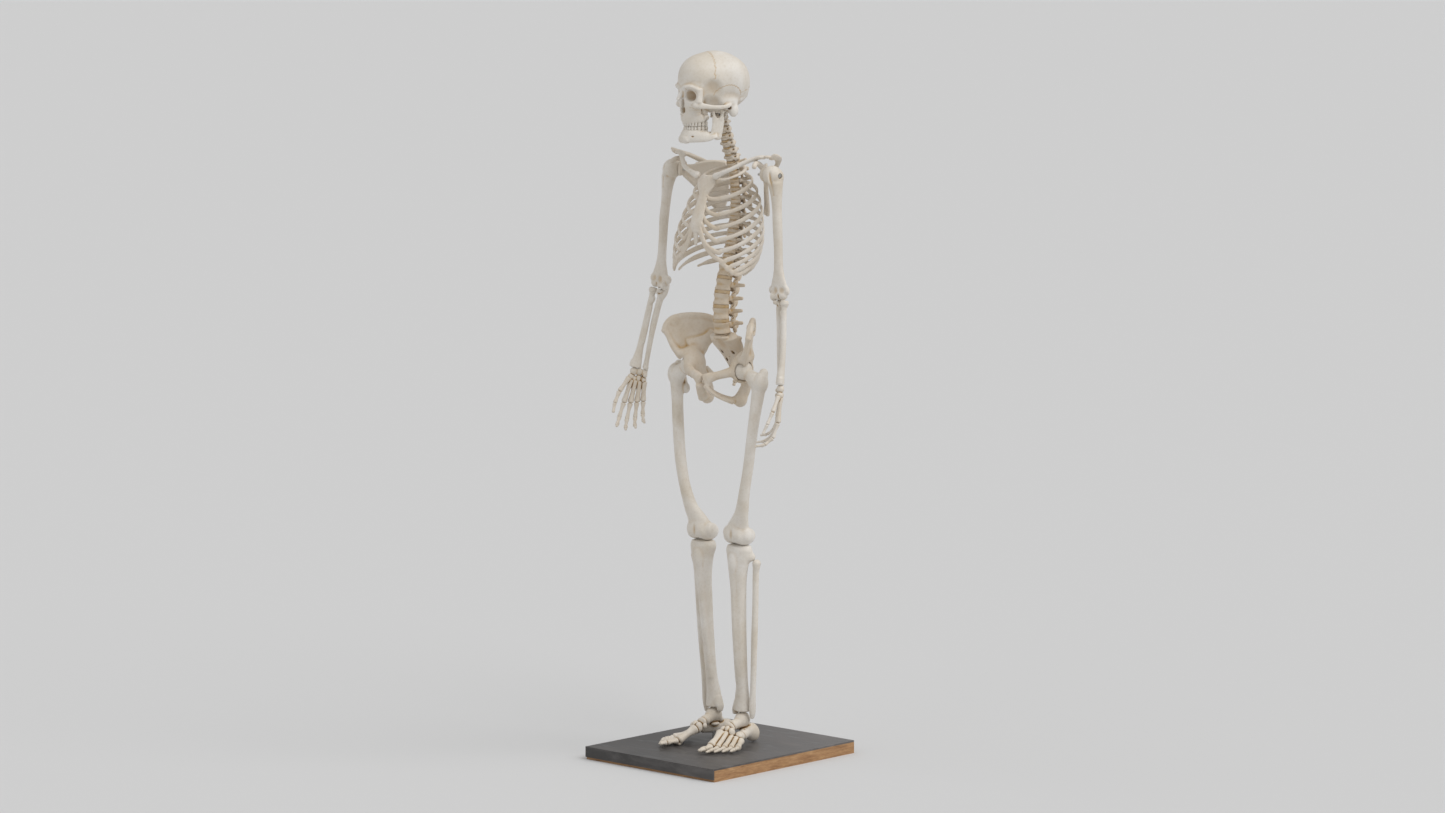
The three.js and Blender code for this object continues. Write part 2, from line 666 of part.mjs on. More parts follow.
// ---- Skull, built round the top of the neck -----------------------------
// A horseshoe in plan: width and length of its outside, and its wall.
function horseshoe(halfWidth, front, back, wall, height, bottom) {
  const middle = front + halfWidth;
  const outline = new THREE.Shape();
  outline.moveTo(halfWidth, back);
  outline.lineTo(halfWidth, middle);
  outline.absarc(0, middle, halfWidth, 0, -Math.PI, true);
  outline.lineTo(-halfWidth, back);
  outline.lineTo(-halfWidth + wall, back);
  outline.lineTo(-halfWidth + wall, middle);
  outline.absarc(0, middle, halfWidth - wall, -Math.PI, 0, false);
  outline.lineTo(halfWidth - wall, back);
  outline.closePath();
  const options = { depth: height, bevelEnabled: false, curveSegments: 5 };
  return new THREE.ExtrudeGeometry(outline, options).translate(0, 0, bottom);
}

const VAULT = { centre: [0, -12, 76], radii: [71, 88, 74], wall: 5 };

function cranium() {
  const halves = [];
  const holes = [];
  for (const turn of [(geometry) => geometry, mirrored]) {
    halves.push(
      turn(blob([50, 16, 17], [13, 20, 20], 7)),
      turn(blob([52, 22, -2], [9, 13, 16], 6)),
      turn(limb([[44, -82, 30, 10, 14], [52, -68, 20, 8, 13], [64, -44, 17, 3.5, 7],
        [67, -22, 16, 3, 5], [62, 2, 17, 5, 6]], vector(1, 0.5, 0), 6)),
      turn(limb([[50, -78, 62, 6, 8], [53, -78, 44, 5, 7], [50, -76, 26, 8, 9]])),
      turn(blob([16, 2, 5.4], [8, 12, 6], 6)),
    );
    holes.push(
      turn(blob([31, -98, 44], [18, 34, 16.5], 9)),
      turn(blob([7, -104, 10], [8, 24, 16], 6)),
    );
  }
  const { centre, radii, wall } = VAULT;
  const outside = join(
    blob(centre, radii, 14),
    block([60, 58, 40], [0, -64, 2]),
    limb([[0, -62, 66, 50, 36], [0, -66, 20, 44, 28], [0, -66, -19.5, 30, 27]]),
    blob([0, -94, 62], [36, 12, 10], 7),
    limb([[0, -98, 44, 8, 8], [0, -108, 28, 5, 6]]),
    ...halves,
  );
  const inside = blob([centre[0], centre[1] + 2, centre[2] + 2],
    radii.map((r) => r - wall - 3), 10);
  const bore = ROD.radius + 2;
  const channel = cylinder(bore, 60, SIDES, vector(0, 0, 1), [0, 0, 10]);
  return cut(outside, inside, channel, ...holes,
    block([200, 200, 60], [0, -60, TEETH.upper - 30]))
    .add(solid(horseshoe(30, -94, -40, 9, TEETH.upper + 4 - TEETH.bite, TEETH.bite)));
}

function mandible() {
  const { bite, lower } = TEETH;
  const rami = [];
  for (const turn of [(geometry) => geometry, mirrored]) {
    rami.push(
      turn(limb([[JAW.x, JAW.y, JAW.z - 1, 8, 4.5], [JAW.x, JAW.y, JAW.z - 10, 4, 6],
        [48, -20, -18, 3.5, 16], [46, -24, -44, 4, 18], [40, -40, -58, 5, 12]])),
      turn(limb([[47, -34, 2, 2, 3], [47, -32, -16, 3, 7]])),
      turn(limb([[42, -34, -54, 5, 14], [37, -60, -54, 6, 14], [24, -82, -55, 6, 14],
        [0, -90, -56, 8, 14], [-2, -90, -56, 8, 14]], vector(0.6, 0.6, 0))),
    );
  }
  return join(
    ...rami,
    horseshoe(29, -91, -40, 8, bite - lower - 0.6, lower),
    horseshoe(31, -93, -40, 11, 14, lower - 13.5),
  );
}

function head() {
  const group = new THREE.Group();
  group.name = 'head';
  group.position.set(0, HEAD.y, HEAD.z);
  group.rotation.z = radians(HEAD.turn);
  group.add(piece('cranium', IVORY, cranium()));
  const jaw = new THREE.Group();
  jaw.name = 'jaw';
  jaw.position.set(0, JAW.y, JAW.z);
  const lower = piece('mandible', IVORY, mandible());
  lower.position.set(0, -JAW.y, -JAW.z);
  jaw.add(lower);
  group.add(jaw);
  return group;
}

// ---- The whole model ----------------------------------------------------
const skeleton = new THREE.Group();
skeleton.position.z = BOARD.thickness;
skeleton.add(
  ...legRods(), ...feet(), ...tibiae(), ...fibulae(), ...femora(), ...hipBones(),
  ...spinePieces(), ...ribs(), breastbone(), ...clavicles(), ...scapulae(),
  ...shoulderBolts(), arm('left'), arm('right'), head(),
);

const group = new THREE.Group();
group.add(...boardPieces(), skeleton);

export default group;
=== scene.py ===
"""Classroom human skeleton on a board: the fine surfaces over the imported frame.

Shapes are given in millimetres. Bones of the trunk and legs are measured from the
top of the board, arm bones from their own joint, and skull bones from the neck.
Left bones are modelled and right bones are their mirror images.
"""
import json
import math

import bpy
import numpy as np
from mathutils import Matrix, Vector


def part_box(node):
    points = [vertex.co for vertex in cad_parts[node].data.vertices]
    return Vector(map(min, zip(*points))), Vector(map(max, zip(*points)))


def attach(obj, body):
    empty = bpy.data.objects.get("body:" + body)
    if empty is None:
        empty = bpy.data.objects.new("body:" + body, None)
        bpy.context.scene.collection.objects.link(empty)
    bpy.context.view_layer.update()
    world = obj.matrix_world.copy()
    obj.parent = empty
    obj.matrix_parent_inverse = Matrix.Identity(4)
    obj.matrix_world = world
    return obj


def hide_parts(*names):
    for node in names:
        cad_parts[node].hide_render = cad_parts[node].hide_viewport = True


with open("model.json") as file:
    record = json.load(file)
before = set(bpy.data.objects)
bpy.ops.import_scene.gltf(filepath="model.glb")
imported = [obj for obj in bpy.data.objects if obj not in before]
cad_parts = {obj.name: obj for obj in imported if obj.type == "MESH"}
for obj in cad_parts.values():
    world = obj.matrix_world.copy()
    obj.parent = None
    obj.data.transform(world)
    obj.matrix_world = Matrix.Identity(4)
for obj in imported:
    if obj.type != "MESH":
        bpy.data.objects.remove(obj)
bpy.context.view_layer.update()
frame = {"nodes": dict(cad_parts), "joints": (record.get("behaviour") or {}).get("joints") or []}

import openvdb as vdb
from mathutils import Euler, Matrix, Vector

MM = 0.001
BOARD_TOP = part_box("base_cover")[1][2]
JOINTS = {joint["name"]: joint for joint in frame["joints"]}
SIDES = ("left", "right")
FAR = 30.0


# ---------------------------------------------------------------------------
# Distance-field modelling: shapes are joined and carved with soft edges
# ---------------------------------------------------------------------------
class Ball:
    """An ellipsoid, turned by Euler angles in degrees."""

    def __init__(self, centre, radii, turn=(0, 0, 0)):
        self.centre = np.array(centre, float)
        self.radii = np.array(np.broadcast_to(radii, 3), float)
        self.matrix = np.array(Euler([math.radians(a) for a in turn]).to_matrix())
        reach = np.abs(self.matrix) @ self.radii
        self.low, self.high = self.centre - reach, self.centre + reach

    def distance(self, points):
        local = [sum(self.matrix[j, i] * (points[j] - self.centre[j]) for j in range(3))
                 for i in range(3)]
        scaled = [local[i] / self.radii[i] for i in range(3)]
        level = np.sqrt(sum(value ** 2 for value in scaled))
        slope = np.sqrt(sum((scaled[i] / self.radii[i]) ** 2 for i in range(3)))
        return level * (level - 1) / np.maximum(slope, 1e-6)


class Loft:
    """A limb of elliptical sections [x, y, z, half width, half depth] along a path.

    The half width lies along `across`, and the ends are rounded.
    """

    def __init__(self, stations, across=(1, 0, 0), smooth=4, tip=0.7):
        full = [list(s) + [s[3]] * (5 - len(s)) for s in stations]
        self.stations = spline(np.array(full, float), smooth)
        self.across = np.array(across, float)
        self.tip = tip
        reach = self.stations[:, 3:].max(axis=1)[:, None]
        self.low = (self.stations[:, :3] - reach).min(axis=0)
        self.high = (self.stations[:, :3] + reach).max(axis=0)

    def frames(self):
        along = np.gradient(self.stations[:, :3], axis=0)
        along /= np.linalg.norm(along, axis=1)[:, None]
        width = self.across - (along @ self.across)[:, None] * along
        width /= np.linalg.norm(width, axis=1)[:, None]
        return along, width, np.cross(along, width)

    def distance(self, points):
        shape = np.broadcast_shapes(*(p.shape for p in points))
        nearest = np.full(shape, FAR, np.float32)
        _, width, depth = self.frames()
        axes = [np.ravel(p) for p in points]
        for i in range(len(self.stations) - 1):
            here, there = self.stations[i], self.stations[i + 1]
            reach = max(here[3:].max(), there[3:].max()) + 8
            low = np.minimum(here[:3], there[:3]) - reach
            high = np.maximum(here[:3], there[:3]) + reach
            spans = [slice(*np.searchsorted(axes[k], (low[k], high[k]))) for k in range(3)]
            if any(span.start >= span.stop for span in spans):
                continue
            x, y, z = (axes[0][spans[0]][:, None, None], axes[1][spans[1]][None, :, None],
                       axes[2][spans[2]][None, None, :])
            step = there[:3] - here[:3]
            length = np.linalg.norm(step)
            offset = [x - here[0], y - here[1], z - here[2]]
            run = sum(offset[k] * step[k] for k in range(3)) / length ** 2
            t = np.clip(run, 0, 1)
            over = (run - t) * length
            side = [width[i][k] + (width[i + 1][k] - width[i][k]) * t for k in range(3)]
            deep = [depth[i][k] + (depth[i + 1][k] - depth[i][k]) * t for k in range(3)]
            rest = [offset[k] - step[k] * t for k in range(3)]
            a = sum(rest[k] * side[k] for k in range(3))
            b = sum(rest[k] * deep[k] for k in range(3))
            half_a = here[3] + (there[3] - here[3]) * t
            half_b = here[4] + (there[4] - here[4]) * t
            thin = np.minimum(half_a, half_b)
            level = np.sqrt((a / half_a) ** 2 + (b / half_b) ** 2 + (over / (thin * self.tip)) ** 2)
            size = np.sqrt(a ** 2 + b ** 2 + over ** 2)
            gap = np.where(level > 1e-3, size * (1 - 1 / np.maximum(level, 1e-3)), -thin)
            block = nearest[tuple(spans)]
            np.minimum(block, gap, out=block)
        return nearest


class Plate:
    """A sheet with a rounded rim inside a closed outline, which bulges in its middle.

    The outline's points are [across, up] from the origin.
    """

    def __init__(self, outline, origin, across, up, thick, bulge):
        self.outline = spline(np.array(outline + outline[:1], float), 4)
        self.origin = np.array(origin, float)
        normal = np.cross(across, up)
        self.axes = [np.array(axis, float) / np.linalg.norm(axis)
                     for axis in (across, np.cross(normal, across), normal)]
        self.thick, self.bulge = thick, bulge
        self.middle = (self.outline.min(axis=0) + self.outline.max(axis=0)) / 2
        self.half = np.ptp(self.outline, axis=0) / 2
        rim = self.origin + self.outline @ np.array(self.axes[:2])
        self.low = rim.min(axis=0) - thick - abs(bulge)
        self.high = rim.max(axis=0) + thick + abs(bulge)

    def distance(self, points):
        u, v, out = (sum(axis[k] * (points[k] - self.origin[k]) for k in range(3))
                     for axis in self.axes)
        spread = ((u - self.middle[0]) / self.half[0]) ** 2 + ((v - self.middle[1]) / self.half[1]) ** 2
        out = out - self.bulge * (1 - np.minimum(spread, 2))
        return np.hypot(np.maximum(self.rim_gap(u, v) + self.thick, 0), out) - self.thick

    def rim_gap(self, u, v):
        """Distance to the outline in its own plane, negative inside."""
        nearest = np.full(np.broadcast_shapes(u.shape, v.shape), FAR ** 2)
        inside = np.zeros(nearest.shape, bool)
        for (u0, v0), (u1, v1) in zip(self.outline, self.outline[1:]):
            du, dv = u1 - u0, v1 - v0
            t = np.clip(((u - u0) * du + (v - v0) * dv) / (du * du + dv * dv), 0, 1)
            nearest = np.minimum(nearest, (u - u0 - du * t) ** 2 + (v - v0 - dv * t) ** 2)
            inside ^= ((v0 > v) != (v1 > v)) & (u < u0 + (v - v0) * du / (dv or 1e-9))
        return np.where(inside, -1, 1) * np.sqrt(nearest)


def spline(rows, steps):
    """Rows of numbers made finer by a Catmull-Rom curve through them."""
    if steps < 2 or len(rows) < 3:
        return rows
    padded = np.vstack([2 * rows[0] - rows[1], rows, 2 * rows[-1] - rows[-2]])
    finer = []
    for i in range(1, len(rows)):
        p0, p1, p2, p3 = padded[i - 1:i + 3]
        for t in np.arange(steps) / steps:
            finer.append(0.5 * (2 * p1 + (p2 - p0) * t + (2 * p0 - 5 * p1 + 4 * p2 - p3) * t ** 2
                                + (3 * p1 - p0 - 3 * p2 + p3) * t ** 3))
    finer.append(rows[-1])
    finer = np.array(finer)
    finer[:, 3:] = np.maximum(finer[:, 3:], 0.6)
    return finer


def both(*shapes):
    """The shapes and their mirror images."""
    result = []
    for shape in shapes:
        result += [shape, mirror(shape)]
    return result


def horseshoe(rows, tip=0.7):
    """A limb through the rows on the left side, round the front and back on the right."""
    right = [(-x, *rest) for x, *rest in reversed(rows[:-1])]
    return Loft(rows + right, (0, 1, 0), 5, tip)


def mirror(shape):
    """The shape on the other side of the midline."""
    flip = np.array([-1, 1, 1])
    if isinstance(shape, Ball):
        twin = Ball(shape.centre * flip, shape.radii)
        twin.matrix = np.diag(flip) @ shape.matrix
        twin.low = shape.centre * flip - (shape.high - shape.low) / 2
        twin.high = shape.centre * flip + (shape.high - shape.low) / 2
        return twin
    twin = Loft.__new__(Loft)
    twin.stations = shape.stations * np.array([-1, 1, 1, 1, 1])
    twin.across = shape.across * flip
    twin.tip = shape.tip
    twin.low = np.array([-shape.high[0], shape.low[1], shape.low[2]])
    twin.high = np.array([-shape.low[0], shape.high[1], shape.high[2]])
    return twin


class Clay:
    """Bone as a distance field on a grid, built by adding and carving shapes."""

    def __init__(self, step):
        self.step = step
        self.work = []

    def add(self, *shapes, blend=3.0):
        self.work += [(shape, blend, True) for shape in shapes]
        return self

    def carve(self, *shapes, blend=2.0):
        self.work += [(shape, blend, False) for shape in shapes]
        return self

    def field(self):
        added = [shape for shape, _, adds in self.work if adds]
        low = np.min([shape.low for shape in added], axis=0) - 3 * self.step - 1
        high = np.max([shape.high for shape in added], axis=0) + 3 * self.step + 1
        axes = [np.arange(low[k], high[k] + self.step, self.step) for k in range(3)]
        values = np.full([len(axis) for axis in axes], FAR, np.float32)
        for shape, blend, adds in self.work:
            reach = blend + 3 * self.step
            spans = [slice(*np.searchsorted(axes[k], (shape.low[k] - reach, shape.high[k] + reach)))
                     for k in range(3)]
            if any(span.start >= span.stop for span in spans):
                continue
            points = [axes[0][spans[0]][:, None, None], axes[1][spans[1]][None, :, None],
                      axes[2][spans[2]][None, None, :]]
            gap = shape.distance(points)
            block = values[tuple(spans)]
            values[tuple(spans)] = soft_min(block, gap, blend) if adds \
                else -soft_min(-block, gap, blend)
        return values, low

    def surface(self):
        """Vertices in millimetres, quads, and how hollow the bone is at each vertex."""
        values, low = self.field()
        band = 3 * self.step
        grid = vdb.FloatGrid(band)
        grid.copyFromArray(np.clip(values, -band, band).astype(np.float32), tolerance=0)
        grid.gridClass = vdb.GridClass.LEVEL_SET
        points, quads = grid.convertToQuads(0.0)
        hollow = hollowness(values, self.step, points)
        return points * self.step + low, quads[:, ::-1].copy(), hollow


def soft_min(a, b, blend):
    if blend <= 0:
        return np.minimum(a, b)
    mix = np.clip(0.5 + 0.5 * (a - b) / blend, 0, 1)
    return a + (b - a) * mix - blend * mix * (1 - mix)


def box_blur(values, radius):
    """The mean of each cube of the grid that reaches `radius` steps either way."""
    for axis in range(3):
        padded = np.concatenate([np.repeat(values.take([0], axis), radius + 1, axis), values,
                                 np.repeat(values.take([-1], axis), radius, axis)], axis)
        total = np.cumsum(padded, axis=axis, dtype=np.float32)
        count = values.shape[axis]
        upper = total.take(range(2 * radius + 1, 2 * radius + 1 + count), axis)
        values = (upper - total.take(range(count), axis)) / (2 * radius + 1)
    return values


# How far round a point its hollow is felt, in millimetres, and how much that counts. The hollows get a
# tan stain, and the deepest of them get painted shade.
RECESS_REACH = ((2.5, 0.45), (6.0, 0.55))
RECESS_GAIN, RECESS_START = 4.2, 0.05


def hollowness(values, step, points):
    """From 0 on open surfaces to 1 in deep recesses, at each surface point."""
    inside = np.clip(0.5 - values / (2 * step), 0, 1)
    low = np.clip(np.floor(points).astype(int), 0, np.array(values.shape) - 2)
    part = np.clip(points - low, 0, 1)
    total = np.zeros(len(points), np.float32)
    for reach, weight in RECESS_REACH:
        blurred = box_blur(box_blur(inside, max(1, round(reach / step))), 1)
        for corner in np.ndindex(2, 2, 2):
            share = np.prod(np.where(corner, part, 1 - part), axis=1)
            total += weight * share * (blurred[tuple((low + corner).T)] - 0.5)
    return np.clip(total * RECESS_GAIN + RECESS_START, 0, 1)


# ---------------------------------------------------------------------------
# Blender objects
# ---------------------------------------------------------------------------
def make_object(name, points, faces, hollow, material, body, slot):
    mesh = bpy.data.meshes.new(name)
    mesh.vertices.add(len(points))
    mesh.vertices.foreach_set("co", np.asarray(points, np.float32).ravel())
    corners = faces.shape[1]
    mesh.loops.add(faces.size)
    mesh.loops.foreach_set("vertex_index", faces.astype(np.int32).ravel())
    mesh.polygons.add(len(faces))
    mesh.polygons.foreach_set("loop_start", np.arange(len(faces), dtype=np.int32) * corners)
    mesh.update(calc_edges=True)
    mesh.polygons.foreach_set("use_smooth", np.ones(len(faces), bool))
    recess = mesh.attributes.new("recess", "FLOAT", "POINT")
    recess.data.foreach_set("value", np.asarray(hollow, np.float32))
    mesh.validate()
    obj = bpy.data.objects.new(name, mesh)
    bpy.context.scene.collection.objects.link(obj)
    mesh.materials.append(material)
    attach(obj, body)
    return obj


def place(surface, matrix, flip):
    """Puts a surface in millimetres at its place in metres."""
    points, faces, hollow = surface
    points = points * np.array([-1 if flip else 1, 1, 1]) * MM
    if flip:
        faces = faces[:, ::-1]
    matrix = np.array(matrix)
    return points @ matrix[:3, :3].T + matrix[:3, 3], faces, hollow


TRUNK = Matrix.Translation((0, 0, BOARD_TOP))


def add_bone(name, surface, matrix, look, body, node, flip=False):
    """Adds a bone on a body, in place of a CAD node."""
    obj = make_object(name, *place(surface, matrix, flip), LOOKS[look], body, SLOTS[look])
    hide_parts(node)


def pair(name, clay, look, frames=None, body=None):
    """A left bone and its mirror image, on the trunk or on the two sides' bodies.

    `frames` gives each side's placing.
    """
    surface = clay.surface()
    for side in SIDES:
        matrix = frames[side] if frames else TRUNK
        rides = f"{body}_{side}" if body else "stand_and_trunk"
        add_bone(f"{name}_{side}", surface, matrix, look, rides, f"{name}_{side}",
                 side == "right")


# ---------------------------------------------------------------------------
# Materials
# ---------------------------------------------------------------------------
class Finish:
    """A material and the nodes that shade it. A plain number stands for a grey."""

    def __init__(self, name):
        self.material = bpy.data.materials.new(name)
        self.material.use_nodes = True
        tree = self.material.node_tree
        self.nodes, self.links = tree.nodes, tree.links
        self.shader = self.nodes["Principled BSDF"]
        self.coords = self.nodes.new("ShaderNodeTexCoord").outputs["Object"]

    def feed(self, socket, value):
        if isinstance(value, (int, float)):
            socket.default_value = value
        elif isinstance(value, tuple):
            socket.default_value = (*value, 1)
        else:
            self.links.new(value, socket)

    def stretched(self, *scale):
        node = self.nodes.new("ShaderNodeMapping")
        node.inputs["Scale"].default_value = scale
        self.links.new(self.coords, node.inputs["Vector"])
        return node.outputs["Vector"]

    def noise(self, scale, detail=4, rough=0.55, distort=0.0, coords=None):
        node = self.nodes.new("ShaderNodeTexNoise")
        for name, value in (("Scale", scale), ("Detail", detail), ("Roughness", rough),
                            ("Distortion", distort), ("Vector", coords or self.coords)):
            self.feed(node.inputs[name], value)
        return node.outputs["Fac"]

    def ramp(self, value, *stops):
        node = self.nodes.new("ShaderNodeValToRGB")
        elements = node.color_ramp.elements
        while len(elements) < len(stops):
            elements.new(0.5)
        for element, (position, color) in zip(elements, stops):
            element.position = position
            element.color = (*color, 1) if isinstance(color, tuple) else (color, color, color, 1)
        self.links.new(value, node.inputs["Fac"])
        return node.outputs["Color"]

    def math(self, operation, a, b, clamp=False):
        node = self.nodes.new("ShaderNodeMath")
        node.operation = operation
        node.use_clamp = clamp
        self.feed(node.inputs[0], a)
        self.feed(node.inputs[1], b)
        return node.outputs[0]

    def mix(self, factor, a, b, blend="MIX"):
        node = self.nodes.new("ShaderNodeMix")
        node.data_type = "RGBA"
        node.blend_type = blend
        for socket, value in ((0, factor), (6, a), (7, b)):
            self.feed(node.inputs[socket], value)
        return node.outputs[2]

    def span(self, value, low, high, start=0.0, end=1.0):
        """Maps start..end of a value onto low..high."""
        node = self.nodes.new("ShaderNodeMapRange")
        for name, number in (("Value", value), ("From Min", start), ("From Max", end),
                             ("To Min", low), ("To Max", high)):
            self.feed(node.inputs[name], number)
        return node.outputs["Result"]

    def finished(self, color, rough, height, strength, distance):
        """Joins the colour, roughness and bump to the shader."""
        bump = self.nodes.new("ShaderNodeBump")
        bump.inputs["Strength"].default_value = strength
        bump.inputs["Distance"].default_value = distance
        self.links.new(height, bump.inputs["Height"])
        for name, value in (("Base Color", color), ("Roughness", rough),
                            ("Normal", bump.outputs["Normal"])):
            self.links.new(value, self.shader.inputs[name])
        return self.material


IVORY = (0.67, 0.615, 0.53)
PALE = (0.81, 0.785, 0.745)
TAN = (0.52, 0.355, 0.17)
# Painted shade: the dark brown that the deepest hollows are darkened towards.
SHADE_BROWN = (0.17, 0.085, 0.03)


def bone_material(name, tan, recess_stain_and_shade, roughness=0.5, bump=0.35):
    """Ivory plastic, tan stain in its hollows and in drifting patches, with painted shade of dark brown
    in its deepest hollows, and fine pores.
    """
    skin = Finish(name)
    recess = skin.nodes.new("ShaderNodeAttribute")
    recess.attribute_name = "recess"
    clouds = skin.noise(9, 5, 0.6, 0.4)
    blotch = skin.noise(38, 4, 0.6)
    pores = skin.noise(900, 3, 0.6)
    grain = skin.noise(160, 5, 0.65)
    tone = skin.ramp(clouds, (0.35, PALE), (0.68, IVORY))
    patch = skin.math("MULTIPLY", skin.math("SUBTRACT", blotch, 0.42), 1.6)
    amount = skin.math("ADD", skin.math("MULTIPLY", patch, tan), tan)
    # The tan stain of the hollows; in the deepest hollows the same amount also drives painted shade.
    deep = skin.math("MULTIPLY", recess.outputs["Fac"], recess_stain_and_shade)
    spread = skin.math("MULTIPLY", deep, skin.math("ADD", blotch, 0.55))
    color = skin.mix(skin.math("ADD", amount, spread, clamp=True), tone, TAN)
    # Painted shade: the deepest hollows are darkened towards dark brown.
    color = skin.mix(skin.ramp(deep, (0.72, 0.0), (1.0, 0.85)), color, SHADE_BROWN)
    speck = skin.ramp(grain, (0.30, (0.86, 0.83, 0.78)), (0.52, 1.0))
    color = skin.mix(0.5, color, speck, "MULTIPLY")
    rough = skin.span(grain, roughness - 0.08, roughness + 0.12)
    height = skin.math("ADD", grain, skin.math("MULTIPLY", pores, 0.4))
    skin.shader.inputs["Specular IOR Level"].default_value = 0.4
    return skin.finished(color, rough, height, bump, 0.0006)


def make_looks():
    return {
        "ivory": bone_material("ivory_bone", 0.09, 1.5, 0.48),
        "skull": bone_material("skull_bone", 0.06, 1.6, 0.42, 0.25),
        "spine": bone_material("spine_bone", 0.42, 1.7, 0.55, 0.5),
        "neck": bone_material("neck_bone", 0.22, 1.6, 0.55, 0.45),
        "pelvis": bone_material("pelvis_bone", 0.32, 1.25, 0.5, 0.4),
        "rib": bone_material("rib_bone", 0.19, 1.6, 0.5, 0.4),
        "small": bone_material("hand_and_foot_bone", 0.20, 2.0, 0.5, 0.45),
        "cartilage": bone_material("cartilage", 0.28, 1.2, 0.55, 0.3),
        "disc": bone_material("disc", 0.75, 0.6, 0.6, 0.3),
        "tooth": bone_material("tooth", 0.02, 0.4, 0.25, 0.1),
    }


SLOTS = {"ivory": "ivory_plastic", "skull": "ivory_plastic", "spine": "tan_plastic",
         "neck": "tan_plastic",
         "pelvis": "tan_plastic", "rib": "ivory_plastic", "small": "tan_plastic",
         "cartilage": "cartilage_plastic", "disc": "tan_plastic", "tooth": "ivory_plastic"}
LOOKS = make_looks()


# ---------------------------------------------------------------------------
# Legs
# ---------------------------------------------------------------------------
def femur():
    """The thigh bone: ball, neck, trochanters, shaft and condyles."""
    clay = Clay(1.25)
    clay.add(
        Ball((88, -14, 930), 23.4),
        Loft([(90, -14, 929, 15, 14), (106, -13, 921, 13, 15), (124, -12, 909, 16, 20),
              (136, -10, 901, 17, 22)], (0, 1, 0)),
        Ball((146, -9, 906), (13, 18, 24), (0, -8, 0)), Ball((141, 3, 924), (10, 12, 13)), blend=5)
    clay.add(
        Loft([(138, -9, 900, 17, 17), (134, -11, 868, 16, 15), (130, -14, 835, 14, 14),
              (124, -19, 780, 12.5, 13.5), (114, -22, 700, 12, 13.5), (101, -21, 640, 12.5, 14),
              (86, -15, 585, 17, 15), (74, -9, 558, 24, 17), (66, -6, 540, 31, 20),
              (61, -4, 524, 33, 21)]), blend=7)
    clay.add(Ball((118, 4, 868), (9, 10, 12)),
             Loft([(139, 9, 916, 5), (130, 11, 894, 5), (121, 8, 874, 5)]), blend=6)
    clay.add(Loft([(129, 0, 835, 3), (120, -5, 760, 3.4), (110, -8.5, 690, 3.4),
                   (98, -8, 630, 3)]), blend=6)
    clay.add(Ball((42, 4, 521.5), (16.5, 31, 21.5)), Ball((80, 4, 521.5), (16.5, 31, 21.5)),
             Ball((61, -14, 526), (27, 16, 19)), Ball((28, -2, 530), (7, 14, 14)),
             Ball((94, -2, 527), (6, 13, 13)), blend=9)
    clay.carve(Ball((131, 4, 921), (6, 7, 9)), Ball((61, 22, 508), (9, 26, 19)), blend=4)
    clay.carve(Ball((61, -36, 524), (6, 9, 24)), blend=6)
    return clay


def tibia():
    """The shin bone, with its plateau, crest and inner ankle."""
    clay = Clay(1.2)
    clay.add(
        Loft([(60, 4, 495.5, 34, 22), (60, 4, 485, 37, 24), (60, 2, 468, 33, 22.5),
              (59, 1, 448, 28, 21), (58, 2, 415, 22.5, 19.5), (57, 6, 370, 18.5, 17.5),
              (55, 12, 290, 15.5, 16), (53, 19, 210, 14, 14.5), (51, 24, 155, 14.5, 14.5),
              (48, 28, 115, 19, 17), (47, 28, 85.5, 21.5, 18)], tip=0.25))
    clay.add(Ball((57, -17, 456), (10, 8, 19)), Ball((90, 14, 470), (10, 11, 10)), blend=10)
    clay.add(Loft([(56, -14, 446, 3.4), (54, -12, 380, 3.4), (50, -4, 290, 3.4),
                   (47, 7, 200, 3), (46, 14, 160, 2)]), blend=12)
    clay.add(Loft([(36, 28, 104, 11, 12), (27, 28, 88, 6.4, 12), (26, 27, 76, 5, 9)]), blend=5)
    clay.carve(Ball((41, 3, 511), (17, 22, 12)), Ball((80, 3, 511), (16, 21, 12)),
               Ball((49, 28, 63), (19, 26, 19.5)), blend=3)
    clay.add(Ball((60.5, 4, 496), (5, 9, 6)), blend=4)
    return clay


def fibula():
    """The calf bone, down to the outer ankle."""
    clay = Clay(1.0)
    clay.add(Ball((102.5, 20, 455), (10, 11, 10)),
             Loft([(102, 20, 446, 8.6, 9), (99, 21, 425, 7.4, 7.8), (95, 24, 350, 7.2, 8),
                   (90, 26, 270, 7.4, 8.2), (83, 30, 170, 6.6, 7.6), (80, 31, 125, 6.6, 8),
                   (78, 32, 98, 6.4, 10.5), (77, 33, 80, 5.6, 9), (76.5, 33, 69, 4, 6)]), blend=5)
    clay.carve(Ball((70, 37, 74), (4, 5, 6)), blend=3)
    return clay


def small_bone(start, end, base, waist, head, across=(1, 0, 0), flat=1.0, trim=0.3):
    """A bone of the hand or foot: a waisted shaft between two knobs."""
    start, end = np.array(start, float), np.array(end, float)
    along = (end - start) / np.linalg.norm(end - start)
    start = start + along * (base * 0.45 + trim)
    end = end - along * (head * 0.45 + trim)
    rows = []
    for t, size in ((0, base), (0.18, (base + waist) / 2), (0.5, waist),
                    (0.8, (head + waist) / 2), (1, head)):
        rows.append([*(start + (end - start) * t), size, size * flat])
    return Loft(rows, across, 3, 0.55)


